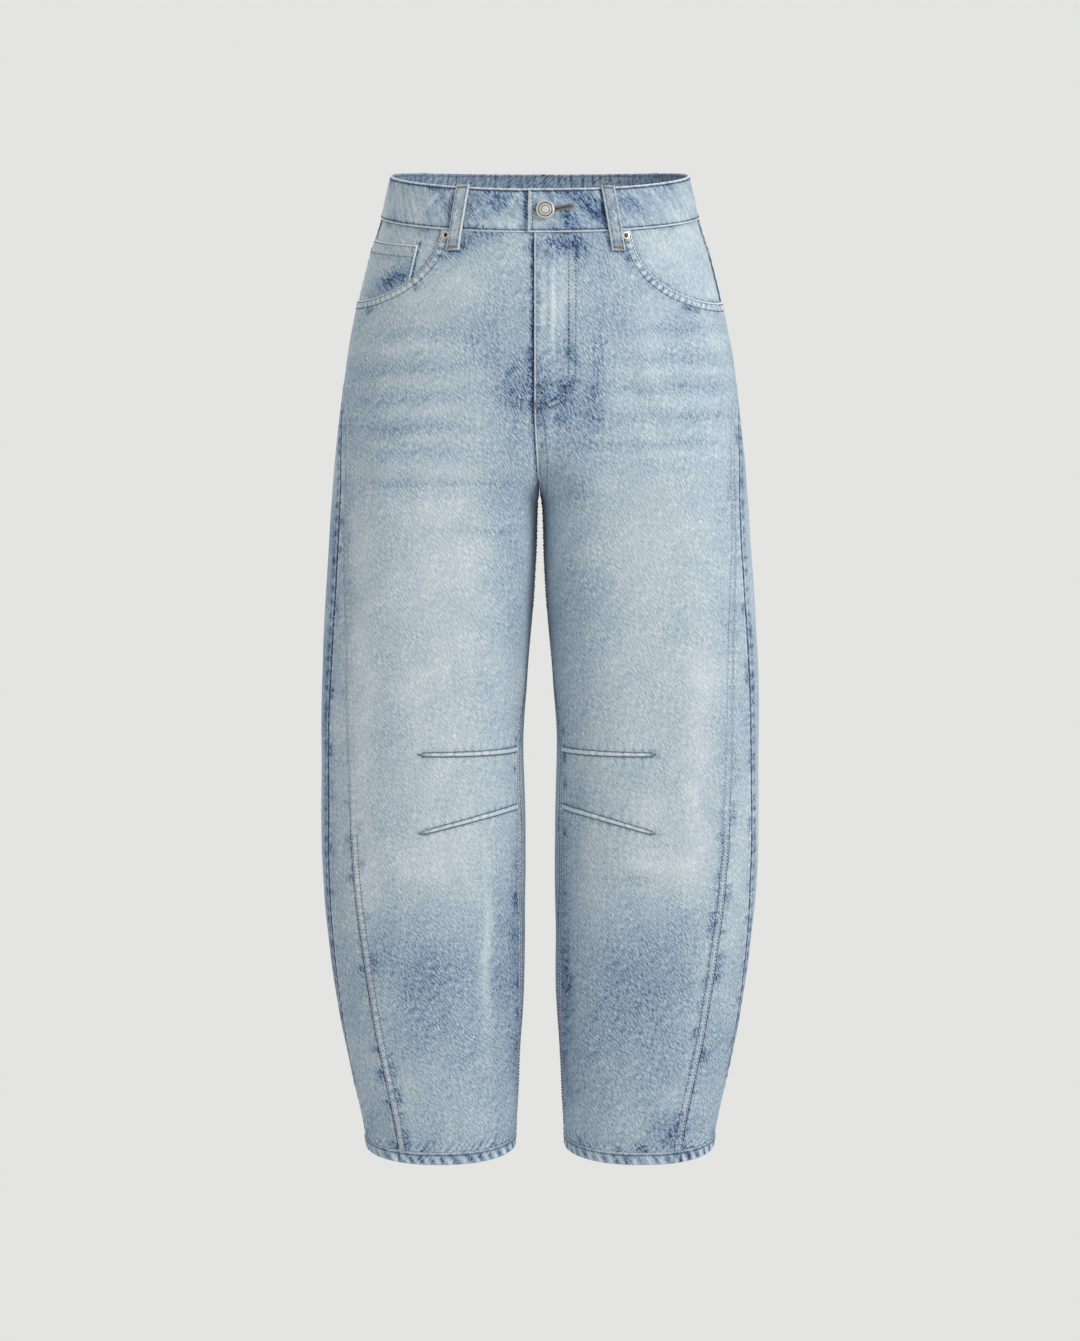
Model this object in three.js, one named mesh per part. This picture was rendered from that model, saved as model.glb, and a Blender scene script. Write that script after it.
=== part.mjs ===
// Barrel leg denim trousers, held open as when worn. Millimetres, +Z up, front towards -Y,
// the wearer's right leg at -X. The origin is the middle of the waist, where a wearer holds them up.
import * as THREE from "three";

// Cloth, seams and layers
const CLOTH = 1.5; // wall of one layer of denim
const SEAM_GAP = 0.3; // between the edges of pieces that are sewn together
const LAY_GAP = 0.5; // under a piece that lies on another
const EDGE_GAP = SEAM_GAP / 2;

// Waistband
const BAND_TOP = 20;
const BAND_BOTTOM = -21;
const BAND_OUT = 0.8; // how far the band stands out from the panels
const BAND_IN = -2.2;
const BAND_LAP = 8; // the buttoned end past the centre front
const BAND_UNDERLAP = 24; // the hidden end past the centre front
const LAP_RISE = { from: 68, to: 80, by: 2 }; // degrees from the side
const UNDERLAP_SINK = { from: 68, to: 80, by: 1.5 };

// Fly: the wearer's left front laps over the right one
const FLY_LAP = 5.6;
const FLY_LIFT = CLOTH + 0.7;
const FLY_BLEND = { from: 16, to: 7 }; // across the front, where the lap rises from the panel
const FLY_COLUMNS = [0.045, 0.09]; // where those two lie, as shares of the panel, below the fly
const FLY_LAP_END = { full: -205, none: -226 };
const FLY_LIFT_END = { full: -226, none: -262 };

// Legs
const CROTCH = -288.5;
const HEM = -932;
const HEM_DEPTH = 12;
const HEM_OUT = 0.9;
const HEM_IN = -2.1;

// How the waist and hem lie: the front of the waist is lower than its back, and the hem's front dips
const WAIST_SWAY = { front: -20.8, back: 9.1, none: -290, full: BAND_BOTTOM };
const HEM_SWAY = { front: -5.5, back: 0, none: -700, full: -920 };

// Roundness of the outer half of every section, as a superellipse exponent
const ROUND = 2.25;

// Yoke and back pockets
const YOKE = { centre: 78, side: 36 };
const BACK_POCKET = { top: -113, topRise: 10, side: -252, point: -272 };
const BACK_POCKET_X = { topNear: 34, topFar: 160, footNear: 40, footFar: 150 };

// Front pockets: each mouth curves from the band to the side seam, here by its angle and depth
const FACING_LAYER = -CLOTH - 0.6;
const MOUTHS = {
  right: { angle: 55.4, depth: 77.5, across: 2.4, down: 2.25 },
  left: { angle: 59, depth: 79.5, across: 2.7, down: 2.45 },
};
const MOUTH_STEPS = [1, 0.985, 0.95, 0.9, 0.82, 0.72, 0.61, 0.49, 0.37, 0.25, 0.12, 0];
const COIN_POCKET = { thick: 1.2, firstStep: 4, top: -38, topSlope: 3 };

// Belt loops, placed in degrees from the side at the top and foot
const LOOP = { width: 12.6, thick: 2, top: 21.6, foot: -40, bow: 1.3 };
const LOOPS = {
  front_right: { mirror: -1, top: -63, foot: -62 },
  front_left: { mirror: 1, top: -66.9, foot: -65.4 },
  back_right: { mirror: -1, top: 42, foot: 40 },
  back_left: { mirror: 1, top: 42, foot: 40 },
  back_centre: { mirror: 1, top: 90, foot: 90 },
};

// Metal parts
const BUTTON = { radius: 8.5, thick: 2.6, shank: 2.6, shankRadius: 3, x: 4.7, z: -0.5 };
const RIVET = { radius: 3.9, thick: 1.2, fromMouth: 2.5, z: BAND_BOTTOM - 5 };

// Knee darts, from the inseam out across the front of each leg
const DART = { width: 4.2, tip: 1.6, thick: 1, fromSeam: 1.5, end: 113 };
const DARTS = table("name start finish", [
  ["upper", -532, -532],
  ["lower", -588, -608],
]);

// How finely each piece is divided across and down
const STEPS = {
  ...{ band: 72, hem: 44, loop: 10, dart: 12, button: 24, rivet: 16 },
  ...{ side: 3, back: 15, yoke: 10, yokeDown: 3, coinDown: 4, backPocket: 10, backPocketDown: 9 },
};

// Sections of one half, from the waist down. Inner is negative where the two halves join, and round
// is the exponent of the inner half, which is boxier below the fly.
const SECTIONS = table("z outer inner front back round", [
  [26, 141.5, -141.5, 87, 87, 2.25],
  [20, 143, -143, 88, 88, 2.25],
  [-21, 153, -153, 93, 95, 2.25],
  [-60, 165.5, -165.5, 97, 103, 2.25],
  [-90, 173.3, -173.3, 100, 109, 2.25],
  [-120, 180.3, -178, 102, 114, 2.3],
  [-148, 185.7, -160, 104, 118, 2.4],
  [-177, 190, -130, 105, 121, 2.6],
  [-206, 193.5, -93, 105, 122, 2.8],
  [-235, 197.2, -55, 104, 120, 3],
  [-260, 200, -24, 103, 117, 3.1],
  [-280, 201.5, -5, 102, 113.5, 3.1],
  [-290, 202.2, 1.6, 101.5, 112, 3.1],
  [-300, 203, 3, 101, 110, 3.1],
  [-351, 206.5, 4.9, 99, 104, 3],
  [-410, 210.5, 8.8, 96, 99, 2.8],
  [-469, 213.2, 12.7, 93, 95, 2.65],
  [-528, 214.4, 16.2, 90, 92, 2.5],
  [-617, 214.8, 14.6, 86, 88, 2.35],
  [-677, 212.7, 14.9, 83, 85, 2.3],
  [-737, 207.2, 15.3, 79, 81, 2.25],
  [-797, 198.7, 16.8, 74, 77, 2.25],
  [-858, 186.7, 21.2, 68, 71, 2.25],
  [-905, 176.2, 23.7, 63, 65, 2.25],
  [-932, 172, 24.9, 61, 62, 2.25],
  [-940, 171, 25.2, 60.5, 61.5, 2.25],
]);

// Where the long seams run, as distances in from the outline seen from the front
const SEAMS = table("z outseam panel inseam", [
  [-100, 0, 0, 0],
  [-187, 0, 0, 0],
  [-206, 2.5, 6.5, 0],
  [-235, 6.5, 11.5, 0],
  [-262, 9.5, 15, 0],
  [-291, 11.5, 16.5, 0],
  [-332, 12.2, 18, 0],
  [-392, 12.3, 23.5, 0],
  [-440, 11.8, 27, 1],
  [-513, 10.8, 30.3, 5],
  [-567, 10.2, 32, 7],
  [-604, 9.8, 33, 7.3],
  [-650, 8.8, 34.5, 7.3],
  [-720, 7, 37, 5.5],
  [-787, 5, 38, 4.2],
  [-848, 2.4, 38.3, 1.6],
  [-895, 0.6, 36.8, 0.4],
  [-932, 0, 35.5, 0],
]);

// The largest soft folds: centre by angle and height, half sizes, depth (a trough is negative) and
// how many degrees each leans for a millimetre down
const FOLDS = table("side angle z wide tall depth lean", [
  [1, -72, -150, 4.5, 105, -1.6, 0.01],
  [1, -64, -165, 5, 100, 1.4, 0.01],
  [-1, -74, -190, 7, 70, -1.2, -0.02],
  [1, -78, -640, 16, 11, 1.6, 0.25],
  [1, -80, -668, 14, 9, -1.4, 0.25],
  [-1, -100, -655, 16, 12, 1.2, -0.15],
  [1, 70, -560, 24, 14, -2.2, 0.15],
  [-1, 74, -575, 22, 14, -2.2, -0.15],
  [1, 82, -600, 24, 13, 1.8, -0.1],
  [-1, 80, -612, 24, 13, 1.8, 0.1],
  [1, 95, -520, 20, 12, 1.5, 0.1],
  [-1, 98, -530, 20, 12, 1.5, -0.1],
]);

// Colours
const denim = (color) => new THREE.MeshStandardMaterial({ color, roughness: 0.92, metalness: 0 });
const metal = (color) => new THREE.MeshStandardMaterial({ color, roughness: 0.35, metalness: 0.9 });
const PANEL_DENIM = denim(0xb3c3d2);
const FACING_DENIM = denim(0xb8c4cf);
const HEM_DENIM = denim(0xa4b6ca);
const WAISTBAND_DENIM = denim(0xa6b8cb);
const LOOP_DENIM = denim(0xb5bdc4);
const BUTTON_METAL = metal(0xd0cec6);
const RIVET_METAL = metal(0xc2bbae);

const radians = THREE.MathUtils.degToRad;
const mix = THREE.MathUtils.lerp;

// A table with named columns
function table(names, rows) {
  const columns = {};
  names.split(" ").forEach((name, i) => {
    columns[name] = rows.map((row) => row[i]);
  });
  columns.count = rows.length;
  return columns;
}

// A smooth curve without overshoot through a table's column, read at height z
function read(from, name, z) {
  const heights = from.z;
  const values = from[name];
  const last = heights.length - 1;
  const at = Math.min(Math.max(z, heights[last]), heights[0]);
  let k = 0;
  while (k < last - 1 && at < heights[k + 1]) k += 1;
  const span = (i) => heights[i + 1] - heights[i];
  const slope = (i) => (values[i + 1] - values[i]) / span(i);
  const tangent = (i) => {
    if (i === 0) return slope(0);
    if (i === last) return slope(last - 1);
    const before = slope(i - 1);
    const after = slope(i);
    if (before * after <= 0) return 0;
    const w1 = 2 * span(i) + span(i - 1);
    const w2 = span(i) + 2 * span(i - 1);
    return (w1 + w2) / (w1 / before + w2 / after);
  };
  const h = span(k);
  const t = (at - heights[k]) / h;
  return (
    values[k] * (1 + 2 * t) * (1 - t) ** 2 +
    h * tangent(k) * t * (1 - t) ** 2 +
    values[k + 1] * t * t * (3 - 2 * t) +
    h * tangent(k + 1) * t * t * (t - 1)
  );
}

function smooth(from, to, value) {
  const t = Math.min(Math.max((value - from) / (to - from), 0), 1);
  return t * t * (3 - 2 * t);
}

// A signed power, which turns a circle into a superellipse
function rounded(value, round) {
  return Math.sign(value) * Math.abs(value) ** (2 / round);
}

// The loop of one half at height z, grown by lift: its centre, half width, half depths and roundness
function loopAt(z, lift) {
  const outer = read(SECTIONS, "outer", z) + lift;
  const inner = read(SECTIONS, "inner", z) - lift;
  return {
    centre: (outer + inner) / 2,
    half: (outer - inner) / 2,
    front: read(SECTIONS, "front", z) + lift,
    back: read(SECTIONS, "back", z) + lift,
    round: read(SECTIONS, "round", z),
  };
}

// The roundness on the side where a share of the half width lies
const roundAt = (loop, share) => (share < 0 ? loop.round : ROUND);

// How far out from the middle plane a loop is at an angle
function acrossAt(loop, angle) {
  const turn = Math.cos(angle);
  return loop.centre + loop.half * rounded(turn, roundAt(loop, turn));
}

// How far the waist and the hem rise or dip, from the front (-1) to the back (1)
function sway(z, depth) {
  const tilt = ({ front, back }) => ((back - front) / 2) * depth + ((back + front) / 2) * depth * depth;
  return (
    smooth(WAIST_SWAY.none, WAIST_SWAY.full, z) * tilt(WAIST_SWAY) +
    smooth(HEM_SWAY.none, HEM_SWAY.full, z) * tilt(HEM_SWAY)
  );
}

// The soft folds at a place on one half
function foldAt(mirror, z, angle) {
  const degrees = THREE.MathUtils.radToDeg(angle);
  let sum = 0;
  for (let i = 0; i < FOLDS.count; i += 1) {
    if (FOLDS.side[i] === mirror) {
      const down = z - FOLDS.z[i];
      const across = (degrees - FOLDS.angle[i] - down * FOLDS.lean[i]) / FOLDS.wide[i];
      const along = down / FOLDS.tall[i];
      sum += FOLDS.depth[i] * Math.exp(-(across * across + along * along));
    }
  }
  return sum;
}

// A point of the cloth: mirror is the side, angle is -90 degrees at the front and 0 at the side.
// Past the middle plane the cloth follows the other half.
function onCloth(mirror, z, angle, lift) {
  const grown = lift + foldAt(mirror, z, angle);
  const loop = loopAt(z, grown);
  const x = acrossAt(loop, angle);
  const turn = x < 0 ? Math.sign(Math.sin(angle)) * angleAtX(z, grown, -x) : angle;
  const depth = rounded(Math.sin(turn), roundAt(loop, Math.cos(turn)));
  const y = depth * (depth < 0 ? loop.front : loop.back);
  return new THREE.Vector3(mirror * x, y, z + sway(z, depth));
}

// The angle, from the side, at which a loop reaches x
function angleAtX(z, lift, x) {
  const loop = loopAt(z, lift);
  const share = Math.min(Math.max((x - loop.centre) / loop.half, -1), 1);
  return Math.acos(Math.sign(share) * Math.abs(share) ** (roundAt(loop, share) / 2));
}

// The angle that lies a distance in from the outer or inner outline, seen from the front
function angleInFrom(z, distance, round) {
  const share = 1 - distance / loopAt(z, 0).half;
  return Math.acos(share ** (round / 2));
}

// A small distance round a loop, as an angle
function gapAngle(z, gap = EDGE_GAP) {
  const loop = loopAt(z, 0);
  return gap / Math.min(loop.half, loop.front);
}

// Heights of the rows that the long panels share
const PANEL_TOP = BAND_BOTTOM - SEAM_GAP;
const BELOW_POCKET = -117;
const POCKET_HEIGHTS = [PANEL_TOP, -45, -70, -95, BELOW_POCKET];
const SIDE_PANEL_TOP = -187;
const LEG_HEIGHTS = [
  ...[-140, -165, SIDE_PANEL_TOP, -196, -206, -220, -236, -252, -266, -278, CROTCH + 2, CROTCH - 3],
  ...[-305, -335, -370, -410, -450, -490, -528, -566, -604, -642, -680, -716, -752],
  ...[-787, -820, -850, -878, HEM + HEM_DEPTH + SEAM_GAP],
];

// The long seams, as angles, and the edges of the panels beside them
const outseam = (z) => -angleInFrom(z, read(SEAMS, "outseam", z), ROUND);
const panelSeam = (z) => -angleInFrom(z, read(SEAMS, "panel", z), ROUND);
const inseamTurn = (z) => angleInFrom(z, read(SEAMS, "inseam", z), loopAt(z, 0).round);

const innerFront = (z, lift) =>
  -Math.min(angleAtX(z, lift, EDGE_GAP), Math.PI - inseamTurn(z) - gapAngle(z));
const innerBack = (z, lift) =>
  z > CROTCH
    ? Math.min(angleAtX(z, lift, EDGE_GAP), Math.PI - gapAngle(z))
    : Math.PI + inseamTurn(z) - gapAngle(z);
const lapDepth = (z) => FLY_LAP * smooth(FLY_LAP_END.none, FLY_LAP_END.full, z);
const lapLift = (z) => FLY_LIFT * smooth(FLY_LIFT_END.none, FLY_LIFT_END.full, z);
const lappedFront = (z, lift) =>
  -Math.min(angleAtX(z, lift + lapLift(z), EDGE_GAP - lapDepth(z)), Math.PI - inseamTurn(z) - gapAngle(z));

// A closed solid from two grids of points, one on each face of the cloth
function wall(name, material, outer, inner) {
  const columns = outer.length;
  const rows = outer[0].length;
  const points = [...outer.flat(), ...inner.flat()];
  const front = (i, j) => i * rows + j;
  const back = (i, j) => columns * rows + front(i, j);
  const faces = [];
  const quad = (a, b, c, d) => faces.push(a, b, c, a, c, d);
  for (let i = 0; i < columns - 1; i += 1) {
    for (let j = 0; j < rows - 1; j += 1) {
      quad(front(i, j), front(i + 1, j), front(i + 1, j + 1), front(i, j + 1));
      quad(back(i, j), back(i, j + 1), back(i + 1, j + 1), back(i + 1, j));
    }
    quad(front(i, 0), back(i, 0), back(i + 1, 0), front(i + 1, 0));
    quad(front(i, rows - 1), front(i + 1, rows - 1), back(i + 1, rows - 1), back(i, rows - 1));
  }
  for (let j = 0; j < rows - 1; j += 1) {
    quad(front(0, j), front(0, j + 1), back(0, j + 1), back(0, j));
    quad(front(columns - 1, j), back(columns - 1, j), back(columns - 1, j + 1), front(columns - 1, j + 1));
  }
  return solid(name, material, points, faces);
}

// A closed solid from a section carried along stations, joined end to end or capped
function sweep(name, material, stations, joined) {
  const count = stations.length;
  const sides = stations[0].length;
  const points = stations.flat();
  const faces = [];
  for (let i = 0; i < (joined ? count : count - 1); i += 1) {
    const next = (i + 1) % count;
    for (let j = 0; j < sides; j += 1) {
      const k = (j + 1) % sides;
      faces.push(i * sides + j, next * sides + j, next * sides + k);
      faces.push(i * sides + j, next * sides + k, i * sides + k);
    }
  }
  if (!joined) {
    const end = (count - 1) * sides;
    for (let j = 1; j < sides - 1; j += 1) {
      faces.push(0, j, j + 1);
      faces.push(end, end + j + 1, end + j);
    }
  }
  return solid(name, material, points, faces);
}

// A mesh from points and faces, turned so that its faces point out
function solid(name, material, points, faces) {
  const cross = new THREE.Vector3();
  let volume = 0;
  for (let i = 0; i < faces.length; i += 3) {
    const [a, b, c] = [0, 1, 2].map((k) => points[faces[i + k]]);
    volume += cross.crossVectors(b, c).dot(a);
  }
  const turned = volume < 0 ? faces.slice().reverse() : faces;
  const geometry = new THREE.BufferGeometry();
  const position = new Float32Array(points.flatMap((p) => [p.x, p.y, p.z]));
  geometry.setAttribute("position", new THREE.BufferAttribute(position, 3));
  geometry.setIndex(turned);
  geometry.computeVertexNormals();
  const mesh = new THREE.Mesh(geometry, material);
  mesh.name = name;
  return mesh;
}

const evenly = (count) => Array.from({ length: count + 1 }, (_, i) => i / count);

// One cut panel of a half. Each column gives an angle and a top for every height, heights run from top
// to bottom, and above blend they are stretched to meet the top edge.
function panel(name, { mirror, columns, heights, blend, raise = () => 0 }) {
  const face = (lift) =>
    columns.map((column) =>
      heights.map((height) => {
        const down = (heights[0] - height) / (heights[0] - blend);
        const z = height > blend ? mix(column.top, blend, down) : height;
        const angle = column.angle(z, lift);
        return onCloth(mirror, z, angle, lift + raise(z, angle));
      }),
    );
  return wall(name, PANEL_DENIM, face(0), face(-CLOTH));
}

// The height at which a pocket mouth crosses an angle
function mouthHeight(mouth, angle) {
  const share = Math.min(angle / radians(mouth.angle), 1);
  return PANEL_TOP - mouth.depth * (1 - share ** mouth.across) ** (1 / mouth.down);
}

// Columns along a pocket mouth, and between the fly and the mouth, as angles from the side
const alongMouth = (mouth) => MOUTH_STEPS.map((step) => radians(step * mouth.angle));
const besideMouth = (mouth) => [0.25, 0.5, 0.75].map((share) => radians(mix(90, mouth.angle, share)));

// Front panels: the wearer's left one laps over the right one along the fly
function frontPanel(name, mirror, mouth) {
  const lapped = mirror > 0;
  const from = lapped ? lappedFront : innerFront;
  const to = (z) => panelSeam(z) - gapAngle(z);
  const edge = { top: PANEL_TOP, angle: from };
  const besideFly = [FLY_BLEND.to, FLY_BLEND.from].map((x, i) => ({
    top: PANEL_TOP,
    angle: (z, lift) =>
      mix(
        mix(from(z, lift), to(z), FLY_COLUMNS[i]),
        -angleAtX(z, lift, x),
        smooth(FLY_LIFT_END.none, FLY_LIFT_END.full, z),
      ),
  }));
  const last = besideFly[1];
  const rest = [...besideMouth(mouth), ...alongMouth(mouth)].map((angle) => {
    const top = mouthHeight(mouth, angle);
    const share = 1 + angle / last.angle(top, 0);
    return { top, angle: (z, lift) => mix(last.angle(z, lift), to(z), share) };
  });
  return panel(name, {
    mirror,
    columns: [edge, ...besideFly, ...rest],
    heights: [...POCKET_HEIGHTS, ...LEG_HEIGHTS],
    blend: BELOW_POCKET,
    raise: lapped ? flyLift : undefined,
  });
}

// The fly's lap rises over the other front, and settles again above the crotch
function flyLift(z, angle) {
  return lapLift(z) * smooth(FLY_BLEND.from, FLY_BLEND.to, acrossAt(loopAt(z, 0), angle));
}

// Side panels: a long crescent from a point, between the curved front seam and the outseam
function sidePanel(name, mirror) {
  const middle = (z) => (panelSeam(z) + outseam(z)) / 2;
  const half = (z) => Math.max((outseam(z) - panelSeam(z)) / 2 - gapAngle(z), gapAngle(z) / 2);
  return panel(name, {
    mirror,
    columns: evenly(STEPS.side).map((share) => ({
      top: SIDE_PANEL_TOP,
      angle: (z) => mix(middle(z) - half(z), middle(z) + half(z), share),
    })),
    heights: LEG_HEIGHTS.filter((z) => z <= SIDE_PANEL_TOP),
    blend: SIDE_PANEL_TOP,
  });
}

// Back panels: they wrap round both seams a little on to the front
const yokeSeam = (angle) => {
  const turn = Math.min(Math.max(angle / (Math.PI / 2), 0), 1);
  return BAND_BOTTOM - mix(YOKE.side, YOKE.centre, turn);
};

function backPanel(name, mirror) {
  const from = (z) => outseam(z) + gapAngle(z);
  return panel(name, {
    mirror,
    columns: evenly(STEPS.back).map((share) => ({
      top: yokeSeam((share * Math.PI) / 2) - EDGE_GAP,
      angle: (z, lift) => mix(from(z), innerBack(z, lift), share),
    })),
    heights: [yokeSeam(0), -90, -115, ...LEG_HEIGHTS],
    blend: LEG_HEIGHTS[0],
  });
}

// Yokes: a band across the seat that is deepest at the centre back
function yoke(name, mirror) {
  const face = (lift) =>
    evenly(STEPS.yoke).map((share) =>
      evenly(STEPS.yokeDown).map((down) => {
        const z = mix(PANEL_TOP, yokeSeam((share * Math.PI) / 2) + EDGE_GAP, down);
        const angle = mix(gapAngle(z), innerBack(z, lift), share);
        return onCloth(mirror, z, angle, lift);
      }),
    );
  return wall(name, PANEL_DENIM, face(0), face(-CLOTH));
}

// The facing shows in the pocket mouth and runs on beneath the front panel
function pocketFacing(name, mirror, mouth) {
  const across = [besideMouth(mouth).at(-1), ...alongMouth(mouth)];
  const face = (lift) =>
    across.map((angle) =>
      POCKET_HEIGHTS.map((z) => onCloth(mirror, z, -Math.max(angle, gapAngle(z)), lift)),
    );
  return wall(name, FACING_DENIM, face(FACING_LAYER), face(FACING_LAYER - CLOTH));
}

// The coin pocket lies on the facing and ends at the pocket mouth
function coinPocket(name, mirror, mouth) {
  const layer = FACING_LAYER + LAY_GAP;
  const across = alongMouth(mouth).slice(COIN_POCKET.firstStep);
  const face = (lift) =>
    across.map((angle, i) => {
      const top = COIN_POCKET.top - (COIN_POCKET.topSlope * i) / (across.length - 1);
      const bottom = mouthHeight(mouth, angle) + SEAM_GAP;
      return evenly(STEPS.coinDown).map((down) => {
        const z = mix(top, bottom, down);
        return onCloth(mirror, z, -Math.max(angle, gapAngle(z)), lift);
      });
    });
  return wall(name, FACING_DENIM, face(layer + COIN_POCKET.thick), face(layer));
}

// Back pockets: straight sides, a little narrower at the foot, which is pointed
function backPocket(name, mirror) {
  const { topNear, topFar, footNear, footFar } = BACK_POCKET_X;
  const face = (lift) =>
    evenly(STEPS.backPocket).map((share) => {
      const top = BACK_POCKET.top + BACK_POCKET.topRise * share;
      const foot = mix(BACK_POCKET.point, BACK_POCKET.side, Math.abs(2 * share - 1));
      return evenly(STEPS.backPocketDown).map((down) => {
        const z = mix(top, foot, down);
        const x = mix(mix(topNear, footNear, down), mix(topFar, footFar, down), share);
        return onCloth(mirror, z, angleAtX(z, lift, x), lift);
      });
    });
  return wall(name, PANEL_DENIM, face(LAY_GAP + CLOTH), face(LAY_GAP));
}

// The rounded section of a folded edge: pairs of lift and height
function foldedSection(out, into, low, high) {
  const corner = 1;
  return [
    [out, low + corner],
    [out, high - corner],
    [out - corner, high],
    [into + corner, high],
    [into, high - corner],
    [into, low + corner],
    [into + corner, low],
    [out - corner, low],
  ];
}

// The band rises towards its buttoned end and sinks towards its hidden end, all round as one angle
function bandLift(angle) {
  const whole = THREE.MathUtils.radToDeg(angle);
  const rise = LAP_RISE.by * smooth(-LAP_RISE.from, -LAP_RISE.to, whole);
  const sink = UNDERLAP_SINK.by * smooth(180 + UNDERLAP_SINK.from, 180 + UNDERLAP_SINK.to, whole);
  return rise - sink;
}

// The waistband runs from its buttoned end round the back to its hidden end under the button
function waistband(name) {
  const reach = (distance) => distance / loopAt(0, 0).half;
  const start = -Math.PI / 2 - reach(BAND_LAP);
  const finish = (3 * Math.PI) / 2 + reach(BAND_UNDERLAP);
  const section = foldedSection(BAND_OUT, BAND_IN, BAND_BOTTOM, BAND_TOP);
  const stations = evenly(STEPS.band).map((share) => {
    const angle = mix(start, finish, share);
    return section.map(([out, z]) => onCloth(1, z, angle, out + bandLift(angle)));
  });
  return sweep(name, WAISTBAND_DENIM, stations, false);
}

// The turned hem of one leg, a folded ring
function hem(name, mirror) {
  const section = foldedSection(HEM_OUT, HEM_IN, HEM, HEM + HEM_DEPTH);
  const stations = evenly(STEPS.hem).slice(0, STEPS.hem).map((share) => {
    const angle = mix(-Math.PI, Math.PI, share);
    return section.map(([out, z]) => onCloth(mirror, z, angle, out));
  });
  return sweep(name, HEM_DENIM, stations, true);
}

// A belt loop stands on the panel below the band, bows over the band and ends at its top edge
function beltLoop(name, { mirror, top, foot }) {
  const half = LOOP.width / 2;
  const band = BAND_OUT + (mirror > 0 ? bandLift(radians(top)) : 0);
  const section = [
    [-half, 0],
    [half, 0],
    [half, LOOP.thick * 0.7],
    [half * 0.8, LOOP.thick],
    [-half * 0.8, LOOP.thick],
    [-half, LOOP.thick * 0.7],
  ];
  const stations = evenly(STEPS.loop).map((share) => {
    const z = mix(LOOP.foot, LOOP.top, share);
    const angle = radians(mix(foot, top, share));
    const bow = LOOP.bow * Math.sin(Math.PI * share) ** 0.6;
    const lift = LAY_GAP + band * smooth(LOOP.foot + 3, BAND_BOTTOM - 2, z) + bow;
    const middle = onCloth(mirror, z, angle, lift);
    const along = onCloth(mirror, z, angle + 0.01, lift).sub(middle).setZ(0).normalize();
    const out = onCloth(mirror, z, angle, lift + 1).sub(middle).setZ(0).normalize();
    return section.map(([across, up]) =>
      middle.clone().addScaledVector(along, across).addScaledVector(out, up),
    );
  });
  return sweep(name, LOOP_DENIM, stations, false);
}

// A stitched knee dart: a narrow welt on the front panel, wide at the inseam and fine at its tip
function kneeDart(name, mirror, start, finish) {
  const middle = (start + finish) / 2;
  const from = innerFront(middle, 0) + gapAngle(middle, DART.fromSeam);
  const to = -angleAtX(middle, 0, DART.end);
  const acrossLeg = (angle) => acrossAt(loopAt(middle, 0), angle);
  const stations = evenly(STEPS.dart).map((share) => {
    const angle = mix(from, to, share);
    const reached = (acrossLeg(angle) - acrossLeg(from)) / (DART.end - acrossLeg(from));
    const z = mix(start, finish, reached);
    const half = mix(DART.width, DART.tip, reached) / 2;
    const welt = [
      [-half, 0],
      [half, 0],
      [half * 0.6, DART.thick],
      [-half * 0.6, DART.thick],
    ];
    return welt.map(([up, out]) => onCloth(mirror, z + up, angle, LAY_GAP + out));
  });
  return sweep(name, PANEL_DENIM, stations, false);
}

// A round metal piece on the cloth: a profile of radius and height, turned about the way out
function turnedPiece(name, material, profile, segments, place, out) {
  const outline = profile.map(([radius, height]) => new THREE.Vector2(radius, height));
  const mesh = new THREE.Mesh(new THREE.LatheGeometry(outline, segments), material);
  mesh.name = name;
  mesh.quaternion.setFromUnitVectors(new THREE.Vector3(0, 1, 0), out);
  mesh.position.copy(place);
  return mesh;
}

// The way straight out of the cloth
function wayOut(mirror, z, angle, lift) {
  const here = onCloth(mirror, z, angle, lift);
  const up = onCloth(mirror, z + 2, angle, lift).sub(here);
  const along = onCloth(mirror, z, angle + 0.02, lift).sub(here).multiplyScalar(mirror);
  return along.cross(up).normalize();
}

// The waist button: a shank, a dished cap and a raised middle
function waistButton(name) {
  const bandFace = BAND_OUT + LAP_RISE.by + LAY_GAP;
  const angle = -angleAtX(BUTTON.z, 0, BUTTON.x);
  const place = onCloth(1, BUTTON.z, angle, bandFace);
  const { radius, shank, shankRadius, thick } = BUTTON;
  const profile = [
    [0, 0],
    [shankRadius, 0],
    [shankRadius, shank],
    [radius - 0.8, shank],
    [radius, shank + 0.6],
    [radius - 0.2, shank + thick - 0.5],
    [radius - 1.2, shank + thick],
    [radius - 2.4, shank + thick - 0.7],
    [3.2, shank + thick - 0.8],
    [2.4, shank + thick - 0.2],
    [0, shank + thick],
  ];
  return turnedPiece(name, BUTTON_METAL, profile, STEPS.button, place, wayOut(1, BUTTON.z, angle, bandFace));
}

// A rivet at the top of a pocket mouth: a flat ring with a nub
function rivet(name, mirror, mouth) {
  const angle = -radians(mouth.angle + RIVET.fromMouth);
  const place = onCloth(mirror, RIVET.z, angle, LAY_GAP);
  const out = wayOut(mirror, RIVET.z, angle, LAY_GAP);
  const { radius, thick } = RIVET;
  const profile = [
    [0, 0],
    [radius, 0],
    [radius, thick * 0.5],
    [radius - 0.8, thick],
    [1.9, thick],
    [1.5, thick * 0.5],
    [0.9, thick * 0.5],
    [0.6, thick * 0.9],
    [0, thick],
  ];
  return turnedPiece(name, RIVET_METAL, profile, STEPS.rivet, place, out);
}

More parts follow.
